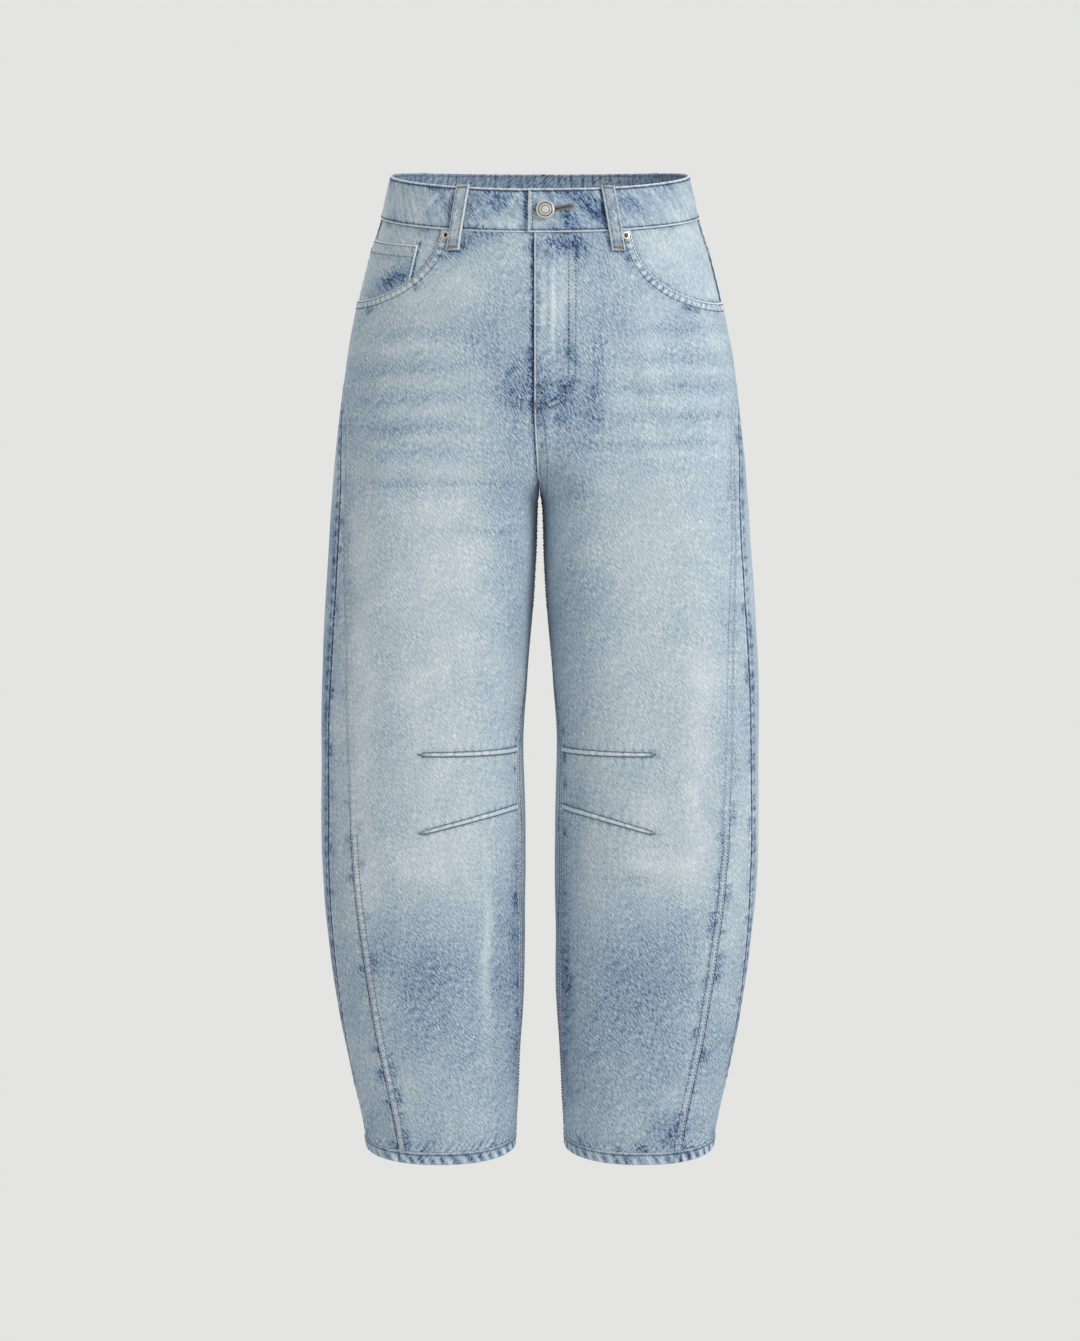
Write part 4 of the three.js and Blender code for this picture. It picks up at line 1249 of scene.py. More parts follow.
def back_panel(side, mirror):
    share = refined((0, 300), 2.7) / 300

    def angles(lift):
        return lambda z: mix(outseam(z) + gap_angle(z), inner_back(z, lift), share[:, None])

    tops = yoke_seam(share * PI / 2) - EDGE_GAP
    heights = heights_down(float(yoke_seam(0.0)), BACK_BLEND, BACK_STEP)
    return panel(f"back_{side}", mirror, angles(0.0), tops, heights, BACK_BLEND, angles(-CLOTH))


def side_panel(side, mirror):
    share = refined((0, 32), FRONT_STEP) / 32

    def angles(z):
        middle = (panel_seam(z) + outseam(z)) / 2
        half = np.maximum((outseam(z) - panel_seam(z)) / 2 - gap_angle(z), gap_angle(z) / 2)
        return middle + half * (2 * share[:, None] - 1)

    heights = refined((SIDE_PANEL_TOP, PANEL_FOOT), FRONT_STEP)
    tops = np.full(len(share), float(SIDE_PANEL_TOP))
    return panel(f"side_{side}", mirror, angles, tops, heights, SIDE_PANEL_TOP - 1e-6, angles)


def yoke(side, mirror):
    share = refined((0, 170), 2.6)[:, None] / 170
    down = refined((0, 60), 2.4)[None] / 60
    z = mix(PANEL_TOP, yoke_seam(share * PI / 2) + EDGE_GAP, down)

    def angle(lift):
        return mix(gap_angle(z), inner_back(z, lift), share)

    name = f"yoke_{side}"
    rise, wash_and_shade, worn = effects(name, mirror, z, angle(0.0))
    outer = on_cloth(mirror, z, angle(0.0), rise)
    inner = on_cloth(mirror, z, angle(-CLOTH), -CLOTH)
    return shell(name, mirror, outer, inner, wash_and_shade, worn, PANELS)


def pocket_facing(side, mirror):
    first = math.radians(mix(90, MOUTHS[side]["angle"], FACING_TURN))
    angle = -refined((0, 118), 2.4)[::-1][:, None] / 118 * first
    z = refined((PANEL_TOP, BELOW_POCKET), 2.4)[None] + 0 * angle
    angle = np.minimum(angle, -gap_angle(z))
    name = f"pocket_facing_{side}"
    rise, wash_and_shade, worn = effects(name, mirror, z, angle)
    edge, _ = nearest(LINES[f"front_{side}"][0][0], on_cloth(mirror, z, angle))
    # Darker right under the pocket mouth's edge: painted shadow; the whole facing a little paler
    wash_and_shade = wash_and_shade - 0.36 * bell(edge, 3.2) + 0.07
    outer = on_cloth(mirror, z, angle, FACING_LAYER + np.minimum(rise, 0.25))
    inner = on_cloth(mirror, z, angle, FACING_LAYER - CLOTH)
    return shell(name, mirror, outer, inner, wash_and_shade, worn, FACING)


def coin_place(share, drop):
    """Height and angle on the coin pocket, outwards from its inner edge and down from its top."""
    return COIN_TOP - COIN_SLOPE * share - drop, -(1 - share) * COIN_TURN


def coin_pocket():
    share = refined((0, 60), 1.8)[:, None] / 60
    down = refined((0, 48), 1.8)[None] / 48
    top, angle = coin_place(share, 0)
    bottom = mouth_height(MOUTHS["right"], angle) + SEAM_GAP
    z = mix(top, bottom, down)
    angle = np.minimum(angle + 0 * z, -gap_angle(z))
    points = on_cloth(-1, z, angle)
    wash_and_shade = wash_and_shade_at(points) + 0.02
    low = top - z
    grooves = drawn_in(low, (1.6, 11.5))
    across = nearest(points[:, 0], points)[1]
    wave = waves(across, 5.5, 71)
    rise = 0.25 * smooth(14, 11, low) - 0.2 * grooves + 0.22 * wave * bell(low - 6.5, 4)
    side_edge, along = nearest(points[0], points)
    rise = rise + roll(low, 0.5, 0.9) + roll(side_edge, 0.5, 0.9) - 0.15 * bell(side_edge - 2, 0.7)
    rise = rise + 0.15 * waves(along, 6, 72) * bell(side_edge - 4, 3)
    wash_and_shade = wash_and_shade + 0.14 * wave * bell(low - 6.5, 4) - 0.10 * bell(low - 14, 2.5)
    wash_and_shade = wash_and_shade - 0.34 * bell(np.abs(angle) / COIN_TURN - 0.72, 0.28) * bell((z - bottom) - 5, 13)
    worn = 0.5 * bell(low - 0.5, 0.8) + 0.45 * bell(side_edge - 0.5, 0.8)
    layer = FACING_LAYER + LAY_GAP
    outer = on_cloth(-1, z, angle, layer + 1.2 + rise)
    inner = on_cloth(-1, z, angle, layer)
    return shell("coin_pocket", -1, outer, inner, wash_and_shade, worn, FACING)


def pocket_place(side_share, down):
    """Heights and places across of a back pocket."""
    foot = mix(*POCKET_FOOT, np.abs(2 * side_share - 1))
    z = mix(mix(*POCKET_TOP, side_share), foot, down)
    return z, mix(mix(*POCKET_INNER, down), mix(*POCKET_OUTER, down), side_share)


def back_pocket(side, mirror):
    share = refined((0, 120), 2.2)[:, None] / 120
    down = refined((0, 155), 2.2)[None] / 155
    z, x = pocket_place(share, down)
    angle = angle_at_x(z, 0, x)
    points = on_cloth(mirror, z, angle)
    wash_and_shade = wash_and_shade_at(points) + 0.03
    rise = np.zeros(z.shape)
    worn = np.zeros(z.shape)
    for index, edge in enumerate((points[0], points[-1], points[:, -1])):
        d, s = nearest(edge, points)
        wave = waves(s, 7, 80 + index)
        grooves = drawn_in(d, (1.6, 7.2), 0.7)
        rise = rise + roll(d, 0.7, 1.1) - 0.2 * grooves + 0.2 * wave * bell(d - 4, 3)
        wash_and_shade = wash_and_shade + 0.14 * wave * bell(d - 4, 3) - 0.2 * spots(s, 12, 84 + index) * bell(d - 9, 3)
        worn = np.maximum(worn, 0.45 * bell(d - 0.6, 0.8))
    d, s = nearest(points[:, 0], points)
    wave = waves(s, 8, 91)
    grooves = drawn_in(d, (2, 11), 0.7)
    rise = rise + 0.5 * smooth(14, 11.5, d) - 0.22 * grooves + roll(d, 0.7, 1.1)
    wash_and_shade = wash_and_shade + 0.10 * wave * bell(d - 6, 5) - 0.12 * bell(d - 14, 3)
    worn = np.maximum(worn, 0.55 * bell(d - 0.6, 0.8))
    outer = on_cloth(mirror, z, angle, LAY_GAP + CLOTH + rise)
    inner = on_cloth(mirror, z, angle, LAY_GAP)
    return shell(f"back_pocket_{side}", mirror, outer, inner, wash_and_shade, worn, PANELS)


# Folded pieces
def folded_section(out, into, low, high, spacing, corner=1.4):
    """Points round a folded edge's section: how far out and how high, going up the outer face."""
    outer = refined((low + corner, high - corner), spacing, fine=(0.5, 1.1, 2.3))
    inner = refined((high - corner, low + corner), spacing * 2, fine=())
    bend = np.linspace(0, PI / 2, 4)[1:-1]
    width = (out - into) / 2
    middle = (out + into) / 2

    def turn(start, height):
        """The points of a rounded corner, from the angle at which it starts."""
        return [(middle + width * math.cos(t), height + corner * math.sin(t)) for t in start + bend]

    points = [(out, z) for z in outer] + turn(0, high - corner)
    points += [(middle, high)] + turn(PI / 2, high - corner)
    points += [(into, z) for z in inner] + turn(PI, low + corner)
    points += [(middle, low)] + turn(3 * PI / 2, low + corner)
    return np.array(points)


def band_lift(angle):
    """How far the waistband's lapped end lies out, and its underlap lies in."""
    whole = np.degrees(angle)
    return 2 * smooth(-68, -80, whole) - 1.5 * smooth(248, 260, whole)


BAND_START = -PI / 2 - BAND_LAP / BAND_HALF_WIDTH
BAND_FINISH = 3 * PI / 2 + BAND_UNDERLAP / BAND_HALF_WIDTH


def band_along(angle):
    return (angle - BAND_START) * BAND_RADIUS


def band_rise(s, z, outside):
    """The waistband's relief and wash from its distance along and its height."""
    top, low = BAND_TOP - z, z - BAND_BOTTOM
    grooves = bell(top - BAND_ROW, 0.8) + bell(low - BAND_ROW, 0.8)
    wave = waves(s + 0.6 * z, 11, 41)
    edge_wave = waves(s + 0.5 * z, 6.5, 43)
    near = bell(top - 4, 4) + bell(low - 4, 4)
    rise = -0.28 * grooves + 0.26 * edge_wave * near + 0.22 * wave * (1 - near)
    rise = rise + 0.35 * noise(s / 26, z / 22, 44)
    wash_and_shade = 0.20 * edge_wave * near + 0.08 * wave - 0.70 * bell(top - 2.5, 0.9) - 0.50 * bell(low - 2.5, 0.9)
    wash_and_shade = wash_and_shade - 0.18 * spots(s + z, 21, 45) * (0.4 + 0.6 * near)
    across, along = s + 0.9 * z, z - 0.9 * s
    streaks = noise(across / 5, along / 26, 46) + 0.6 * noise(across / 3, along / 17, 47)
    worn = (0.70 + 0.2 * wave) * bell(top - 0.4, 1.0) + 0.70 * bell(low - 0.6, 0.8)
    return rise, wash_and_shade + 0.08 * streaks, np.where(outside, worn, 0)


def band_face(z, angle):
    """How far out the waistband's face is."""
    return BAND_OUT + band_lift(angle) + band_rise(band_along(angle), z, True)[0]


def waistband():
    section = folded_section(BAND_OUT, BAND_IN, BAND_BOTTOM, BAND_TOP, 2.0)
    angle = refined((0, 790), 2.3)[:, None] / 790 * (BAND_FINISH - BAND_START) + BAND_START
    z = section[None, :, 1]
    out = section[None, :, 0] + band_lift(angle)
    outside = section[None, :, 0] > (BAND_OUT + BAND_IN) / 2
    base = on_cloth(1, z + 0 * angle, angle, out)
    s = band_along(angle) + 0 * z
    rise, change, worn = band_rise(s, z + 0 * s, outside)
    ends = np.minimum(s, s.max() - s)
    rise = rise + roll(ends, 0.5, 1.5) - 0.2 * bell(ends - BAND_END_ROW, 0.8)
    grid = on_cloth(1, z + 0 * angle, angle, out + rise * np.where(outside, 1, -INSIDE_RELIEF))
    wash_and_shade = wash_and_shade_at(base) + change + 0.02
    px, py = seen(base)
    ahead = base[..., 1] < 0
    # Blue and pale patches and painted shadows on the band's front, from the table below
    for x, y, wide, tall, amount, lean in BAND_WASH_AND_SHADE:
        wash_and_shade = wash_and_shade + amount * bell(px - x - lean * (py - y), wide) * bell(py - y, tall) * ahead
    upright = waves(s, 4.6, 48) + 0.7 * waves(s, 9.3, 49)
    wash_and_shade = np.where(outside, wash_and_shade, 0.34 + 0.3 * change + 0.20 * upright)
    worn = np.maximum(worn, 0.5 * bell(s - 0.6, 0.9) * outside)
    inside = np.where(outside, 0, 0.1) + 0 * s
    cuts["waistband"] = straight_cut(base, BAND_TOP - BAND_BOTTOM)
    attributes = {"wash_and_shade": wash_and_shade, "worn": worn, "inside": inside}
    return tube("waistband", grid, np.stack([s, z + 0 * s], -1), attributes, BAND, False)


# Blue and pale patches on the waistband, and painted shadows beside the lap's edge, two belt loops and the
# button, in the picture's pixels and with the columns of the tables above
BAND_WASH_AND_SHADE = [
    [580, 196, 14, 13, -0.40, 0.6],
    [566, 216, 10, 8, -0.36, 0],
    [596, 212, 12, 13, -0.34, 0.8],
    [500, 196, 20, 9, -0.22, -0.6],
    [470, 206, 12, 16, -0.20, 0.5],
    [436, 186, 14, 8, -0.18, -0.5],
    [440, 204, 10, 12, -0.16, -0.8],
    [634, 206, 16, 12, -0.22, 0.7],
    [660, 190, 16, 8, -0.14, -0.5],
    [400, 200, 18, 14, 0.10, 0],
    [525, 215, 10, 10, 0.08, 0],
    [492, 206, 14, 12, -0.14, 0.6],
    [538, 210, 8, 16, 0.10, 0],
    [568, 202, 30, 20, -0.18, 0],
    [572, 224, 13, 7, -0.24, 0],
    [602, 216, 11, 12, -0.26, 0],
    [556, 190, 12, 7, -0.22, 0],
    # Painted shadows: left of the lapped end's edge, beside two belt loops and at the button's left
    [526, 208, 3.6, 24, -0.56, 0],
    [604.5, 212, 1.8, 26, -0.80, 0.165],
    [451, 212, 1.8, 26, -0.50, -0.15],
    [536, 209, 1.8, 8, -0.55, 0],
    [542, 216, 6, 10, 0.12, 0],
    [574, 206, 2.2, 16, 0.30, 0.8],
    [590, 204, 2.0, 16, 0.34, 0.9],
    [603, 200, 2.0, 14, 0.26, 0.7],
    [486, 200, 2.0, 14, 0.24, -0.7],
    [512, 203, 2.2, 14, 0.20, -0.8],
    [448, 196, 2.0, 14, 0.24, -0.9],
    [432, 200, 2.0, 12, 0.22, -0.8],
    [640, 200, 2.0, 14, 0.22, 0.8],
    [656, 196, 2.0, 12, 0.18, 0.8],
    [680, 206, 20, 16, 0.04, 0],
    [550, 186, 14, 8, -0.16, 0.6],
]


def hem(side, mirror):
    section = folded_section(HEM_OUT, HEM_IN, HEM, HEM + HEM_DEPTH, 1.5, corner=1.3)
    angle = np.linspace(-PI, PI, 240, endpoint=False)[:, None]
    z = section[None, :, 1] + 0 * angle
    out = section[None, :, 0] + 0 * angle
    outside = out > (HEM_OUT + HEM_IN) / 2
    base = on_cloth(mirror, z, angle, out)
    ring = on_cloth(mirror, HEM + 6, angle[:, 0])
    s = way_along(ring)[:, None] + 0 * z
    low = z - HEM
    wave = waves(s + 0.55 * low * mirror, 11.5, 61 + mirror)
    stitch = bell(low - (HEM_DEPTH - HEM_ROW), 0.8)
    rise = 0.55 * wave * bell(low - 4, 5) - 0.28 * stitch
    wash_and_shade = wash_and_shade_at(base) + 0.42 * wave * bell(low - 4.5, 5) - 0.02 - 0.30 * stitch
    wash_and_shade = wash_and_shade - 0.18 * spots(s, 16, 65 + mirror) * bell(low - 5, 6)
    foot = HEM + HEM_DEPTH
    inseam = inseam_turn(foot) - PI
    seams = ((panel_seam(foot), 0.0, 1), (outseam(foot), 0.0, 0.8), (panel_seam(foot), -LEG_ROWS[1], 0.6),
             (inseam, 0.0, 1), (inseam, -6.0, 0.5))
    for turn, aside, strength in seams:
        gap = s - np.interp(float(turn), angle[:, 0], s[:, 0]) - aside
        rise = rise - 0.50 * strength * bell(gap, 0.9) + 0.25 * strength * bell(gap + 2.2, 1.6)
        wash_and_shade = wash_and_shade - 0.60 * strength * bell(gap, 0.9) + 0.15 * strength * bell(gap + 2.2, 1.6)
    worn = 0.45 * smooth(0.1, 0.9, wave) * bell(low - 2.5, 4) + 0.12 * bell(low - 11.2, 0.8)
    worn = np.where(outside, worn, 0)
    grid = on_cloth(mirror, z, angle, out + rise * np.where(outside, 1, -INSIDE_RELIEF))
    inside = np.where(outside, 0, 1) + 0 * s
    cuts[f"hem_{side}"] = straight_cut(np.concatenate([base, base[:1]]), HEM_DEPTH)
    attributes = {"wash_and_shade": wash_and_shade, "worn": worn, "inside": inside}
    return tube(f"hem_{side}", grid, np.stack([s, z], -1), attributes, HEMS, True)


def loop_way(mirror, top, foot, share):
    """Height, angle and distance out of a belt loop's underside."""
    z = mix(-40, 21.6 if top < 0 else 20.4, share)
    angle = np.radians(mix(foot, top, share))
    band = BAND_OUT + (band_lift(np.radians(top)) if mirror > 0 else 0)
    bow = 1.3 * np.sin(PI * share) ** 0.6
    return z, angle, LAY_GAP + band * smooth(-37, -23, z) + bow


def loop_frame(mirror, top, foot, share):
    """Places under a belt loop's middle, with the ways across it and out there."""
    z, angle, lift = loop_way(mirror, top, foot, share)
    middle = on_cloth(mirror, z, angle, lift)
    along = (on_cloth(mirror, z, angle + 0.01, lift) - middle) * [1, 1, 0]
    out = (on_cloth(mirror, z, angle, lift + 1) - middle) * [1, 1, 0]
    return middle, unit(along), unit(out)


def belt_loop(name, mirror, top, foot):
    share = np.clip(refined((0, LOOP_LENGTH), 1.5) / LOOP_LENGTH, 0, 1)
    middle, along, out = (part[:, None] for part in loop_frame(mirror, top, foot, share))
    x = refined((-LOOP_HALF, LOOP_HALF), 1.4, fine=(0.4,))
    under = refined((LOOP_HALF, -LOOP_HALF), 4, fine=())
    s = share[:, None] * LOOP_LENGTH
    edge = LOOP_HALF - np.abs(x)
    wave = waves(s, 5.0, len(name))
    crown = 2.0 + roll(edge, 0.9, 1.1) - 0.22 * bell(edge - 2.0, 0.6)
    upper = crown + 0.12 * wave * bell(edge - 2.5, 2) + 0.12 * noise(s / 9, x[None] / 6, 3)
    upper = upper + roll(np.minimum(s, LOOP_LENGTH - s), 0.5, 1.2)
    points = middle + along * x[:, None] + out * upper[..., None]
    grid = np.concatenate([points, middle + along * under[:, None]], 1)
    wash_and_shade = 0.52 - 0.055 * mirror + 0.08 * wave * bell(edge - 2, 2) + 0.06 * bell(x, 2)
    wash_and_shade = wash_and_shade + 0.08 * noise(s / 8, x[None] / 7, 8)
    wash_and_shade = wash_and_shade - 0.16 * bell(edge - 2.0, 0.8) - 0.14 * smooth(13, 4, s)
    worn = 0.6 * bell(edge - 0.4, 0.6) + 0 * s
    pad = np.full((len(share), len(under)), 0.5)
    attributes = {
        "wash_and_shade": np.concatenate([wash_and_shade, pad], 1),
        "worn": np.concatenate([worn, pad * 0], 1),
        "inside": np.zeros(grid.shape[:2]),
    }
    across = np.concatenate([x, under])
    uv = np.stack([across[None] + 0 * s, s + 0 * across[None]], -1)
    cuts[f"belt_loop_{name}"] = cut_of(points)
    return tube(f"belt_loop_{name}", grid, uv, attributes, LOOP_CLOTH, False, crease=60)


def knee_dart(side, mirror, name):
    z, angle, _ = dart_line(mirror, name)
    dense = np.linspace(0, 1, 90)
    z = np.interp(dense, np.linspace(0, 1, len(z)), z)
    angle = np.interp(dense, np.linspace(0, 1, len(angle)), angle)
    half = mix(*DART_WIDTHS, dense) / 2 * smooth(1.0, 0.93, dense) + 0.25
    turn = np.linspace(0, PI, 9)
    up = -np.cos(turn)[None] * half[:, None]
    high = np.sin(turn)[None] ** 0.7 * 1.15 * (0.35 + 0.65 * smooth(1.0, 0.9, dense))[:, None]
    s = dense[:, None] * 100
    high = high + 0.12 * waves(s, 7, 55) * np.sin(turn)[None]
    grid = on_cloth(mirror, z[:, None] + up, angle[:, None] + 0 * up, 0.1 + high)
    wash_and_shade = 0.75 + 0.10 * waves(s, 8, 56) + 0.10 * np.cos(turn)[None]
    # Darker where the welt meets the cloth: painted shade
    wash_and_shade = wash_and_shade - 0.55 * bell(np.sin(turn), 0.35)[None]
    worn = 0.25 * bell(turn - PI / 2, 0.5)[None] + 0 * s
    uv = np.stack([s + 0 * up, up + 0 * s], -1)
    attributes = {"wash_and_shade": wash_and_shade, "worn": worn, "inside": np.zeros(wash_and_shade.shape)}
    return tube(f"knee_dart_{name}_{side}", grid, uv, attributes, PANELS, False, crease=70)


# Sewing
class Thread:
    """Stitches gathered into one piece."""

    def __init__(self):
        self.points = []
        self.faces = []
        self.count = 0

    def add(self, centre, along, out, length, radius):
        """A short round-ended stitch for each centre, lying along one way."""
        centre, along, out = np.atleast_2d(centre), np.atleast_2d(along), np.atleast_2d(out)
        side = np.cross(along, out)
        stations = [(-0.5, 0.35, -0.5), (-0.34, 0.9, 0.05), (0.34, 0.9, 0.05), (0.5, 0.35, -0.5)]
        turns = np.linspace(0, 2 * PI, 5, endpoint=False)
        rings = []
        for place, size, up in stations:
            for t in turns:
                offset = along * (place * length) + out * (up * radius)
                offset = offset + (side * math.cos(t) + out * math.sin(t)) * radius * size
                rings.append(centre + offset)
        rings = np.stack(rings, 1)
        quads = []
        for ring in range(3):
            for k in range(5):
                a, b = ring * 5 + k, ring * 5 + (k + 1) % 5
                quads.append([a, b, b + 5, a + 5])
        caps = [[4, 3, 2, 1, 0], [15, 16, 17, 18, 19]]
        for n in range(len(centre)):
            base = self.count + n * 20
            self.faces += [[base + v for v in face] for face in quads + caps]
        self.points.append(rings.reshape(-1, 3))
        self.count += len(centre) * 20

    def make(self, name, material):
        points = np.concatenate(self.points)
        return finish_mesh(name, points, self.faces, points[:, [0, 2]], {}, material, crease=80)


def run(thread, piece, mirror, z, angle, under=None, pitch=3.4, length=2.3, radius=0.46, lift=0.18):
    """Stitches along a line on a piece, lying on its relief, or over what under gives."""
    z, angle = np.asarray(z, float), np.asarray(angle, float)
    points = on_cloth(mirror, z, angle)
    along = way_along(points)
    at = np.arange(pitch / 2, along[-1] - pitch * 0.3, pitch)
    if not len(at):
        return
    places = []
    for shift in (-0.4 * length, 0, 0.4 * length):
        zz, aa = np.interp(at + shift, along, z), np.interp(at + shift, along, angle)
        rise = effects(piece, mirror, zz, aa)[0] if under is None else under(zz, aa)
        places.append(on_cloth(mirror, zz, aa, rise + lift))
    way = unit(places[2] - places[0])
    out = way_out(mirror, np.interp(at, along, z), np.interp(at, along, angle))
    out = unit(out - way * (out * way).sum(1, keepdims=True))
    thread.add(sum(places) / 3, way, out, length, radius)


def rows(thread, piece, mirror, line, distances, **more):
    """Rows of stitches beside a line, at distances to the left of its way along."""
    for distance in distances:
        run(thread, piece, mirror, *beside(mirror, *line, distance), **more)


def bartack(thread, place, way, out, length, width):
    """A dense block of stitches across a way, from its middle."""
    steps = np.arange(-length / 2, length / 2 + 0.01, TACK_PITCH)
    centres = place + way * steps[:, None]
    lean = np.cross(out, way) + way * 0.22 * np.where(np.arange(len(steps)) % 2, 1, -1)[:, None]
    thread.add(centres, unit(lean), np.broadcast_to(out, centres.shape), width, 0.36)


def fly_tack(thread, x, height, size):
    """A tack that follows the left front's cloth, with its stitches side by side across its way."""
    z, angle = place_front(1, x, height)
    places = on_cloth(1, z, angle, effects("front_left", 1, z, angle)[0] + 0.3)
    out = way_out(1, z, angle)
    way = unit(np.gradient(places, axis=0))
    lean = np.where(np.arange(len(x)) % 2, 0.3, -0.3)[:, None]
    thread.add(places, unit(unit(np.cross(out, way)) + lean * way), out, size, 0.42)


def frame_on(mirror, z, angle, lift):
    """A place over the cloth with the ways across, up and out there."""
    z, angle = np.asarray(float(z)), np.asarray(float(angle))
    place = on_cloth(mirror, z, angle, lift)
    out = way_out(mirror, z, angle)
    up = on_cloth(mirror, z + 1, angle, lift) - place
    up = unit(up - out * (up @ out))
    return place, np.cross(up, out), up, out


def at_level(level):
    """A lift for stitches that is the same everywhere."""
    return lambda z, angle: level + 0 * z


def sew_front(side, mirror):
    thread = Thread()
    name = f"front_{side}"
    mouth = [values[2:-3] for values in mouth_line(side)]
    rows(thread, name, mirror, mouth, MOUTH_ROWS)
    pale, dark = Thread(), Thread()
    for sewn, start, stop in ((pale, -192, -610), (thread, -611, PANEL_FOOT + 1)):
        seam_z = np.linspace(start, stop, 200)
        rows(sewn, name, mirror, (seam_z, panel_seam(seam_z) - gap_angle(seam_z)), LEG_ROWS)
    pale.make(f"sewing_front_{side}_faded", PALE_THREAD)
    for dart in DARTS:
        z, angle, reached = dart_line(mirror, dart)
        edge = mix(*DART_WIDTHS, reached) / 2 + 0.75
        run(dark, name, mirror, z + edge, angle, pitch=2.6)
        # The lower line is dark thread standing in for the shadow under the dart's fold: a painted shadow
        # line
        run(dark, name, mirror, z - edge, angle, pitch=2.4, length=2.8, radius=0.58)
        beyond = angle[-1] + gap_angle(z[-1], 1.0) * np.linspace(-2.5, 1.8, 8)
        for lean in (-1.76, 0.0, 1.6):
            ray = z[-1] + lean * np.linspace(1, 0, 8)
            run(dark, name, mirror, ray, beyond, pitch=1.6, length=1.8, radius=0.42)
    dark.make(f"dart_edges_{side}", SEAM_SHADE)
    if mirror > 0:
        for x, height in FLY_CURVES:
            run(thread, name, mirror, *place_front(mirror, x, height), lift=0.34)
        edge_z = np.linspace(-25, -262, 120)
        rows(thread, name, mirror, (edge_z, lapped_front(edge_z)), FLY_EDGE_ROWS[:1], radius=0.3)
        low_z = np.linspace(-206, -280, 50)
        rows(thread, name, mirror, (low_z, lapped_front(low_z)), FLY_EDGE_ROWS[1:])
    thread.make(f"sewing_front_{side}", THREAD)


def sew_back(side, mirror):
    thread = Thread()
    yoke_a = np.linspace(0.03, PI / 2 - 0.015, 120)
    rows(thread, f"yoke_{side}", mirror, (yoke_seam(yoke_a), yoke_a), [-row for row in BACK_ROWS])
    leg_z = np.linspace(CROTCH - 6, PANEL_FOOT + 1, 300)
    rows(thread, f"back_{side}", mirror, (leg_z, PI + inseam_turn(leg_z) - gap_angle(leg_z)), BACK_ROWS)
    if mirror > 0:
        seat_z = np.linspace(float(yoke_seam(PI / 2)) - 1, CROTCH + 6, 140)
        rows(thread, f"back_{side}", mirror, (seat_z, inner_back(seat_z)), BACK_ROWS)
        top_z = np.linspace(PANEL_TOP - 1, float(yoke_seam(PI / 2)), 50)
        rows(thread, f"yoke_{side}", mirror, (top_z, inner_back(top_z)), BACK_ROWS)
    pocket_face = LAY_GAP + CLOTH
    for inset in POCKET_ROWS:
        near, low = inset / 118, 1 - inset / 148
        foot = np.linspace(near, 1 - near, 81)[1:-1]
        share = np.concatenate([np.full(60, near), foot, np.full(60, 1 - near)])
        down = np.concatenate([np.linspace(0.004, low, 60), np.full(79, low), np.linspace(low, 0.004, 60)])
        z, x = pocket_place(share, down)
        run(thread, None, mirror, z, angle_at_x(z, 0, x), under=at_level(pocket_face - 0.1))
    for inset in POCKET_HEM_ROWS:
        z, x = pocket_place(np.linspace(0.01, 0.99, 60), inset / 150)
        run(thread, None, mirror, z, angle_at_x(z, 0, x), under=at_level(pocket_face + 0.3))
    thread.make(f"sewing_back_{side}", THREAD)


def sew_facing():
    thread = Thread()
    under = at_level(FACING_LAYER + LAY_GAP + 1.25)
    for drop in COIN_ROWS:
        run(thread, None, -1, *coin_place(np.linspace(0.01, 0.97, 60), drop), under=under)
    z = np.linspace(COIN_TOP - 1, -66, 40)
    run(thread, None, -1, *beside(-1, z, np.full(40, -COIN_TURN), -COIN_SIDE_ROW), under=under)
    thread.make("sewing_coin_pocket", THREAD)


def sew_band():
    thread = Thread()
    angle = np.linspace(BAND_START + 0.012, BAND_FINISH - 0.012, 900)

    def inside(z, a):
        relief = INSIDE_RELIEF * band_rise(band_along(a), z, True)[0]
        return BAND_IN + band_lift(a) - relief - 0.3

    for z in (BAND_TOP - BAND_ROW, BAND_BOTTOM + BAND_ROW):
        run(thread, None, 1, np.full(900, z), angle, under=band_face)
        run(thread, None, 1, np.full(900, z), angle, under=inside)
    end_z = np.linspace(BAND_BOTTOM + BAND_END_ROW, BAND_TOP - BAND_END_ROW, 40)
    run(thread, None, 1, end_z, np.full(40, BAND_START + BAND_END_ROW / BAND_RADIUS), under=band_face)
    thread.make("sewing_waistband", THREAD)


def sew_hem(side, mirror):
    thread = Thread()
    angle = np.linspace(-PI, PI, 500)
    row_z = np.full(500, HEM + HEM_DEPTH - HEM_ROW)
    run(thread, None, mirror, row_z, angle, under=at_level(HEM_OUT - 0.22))
    thread.make(f"sewing_hem_{side}", THREAD)


def sew_loops():
    thread, tacks = Thread(), Thread()
    for place in LOOPS.values():
        share = np.arange(3.4, 60, 3.0) / LOOP_LENGTH
        middle, along, out = loop_frame(*place, share)
        way = unit(loop_frame(*place, share + 0.01)[0] - middle)
        for x in (-4.3, 4.3):
            thread.add(middle + along * x + out * 1.92, way, out, 2.3, 0.33)
        for height in (3.4, 59.0):
            middle, along, out = (part[0] for part in loop_frame(*place, np.array([height / LOOP_LENGTH])))
            bartack(tacks, middle + out * 2.05, along, out, 10, 2.6)
    thread.make("sewing_belt_loops", THREAD)
    tacks.make("bartacks_belt_loops", TAN)


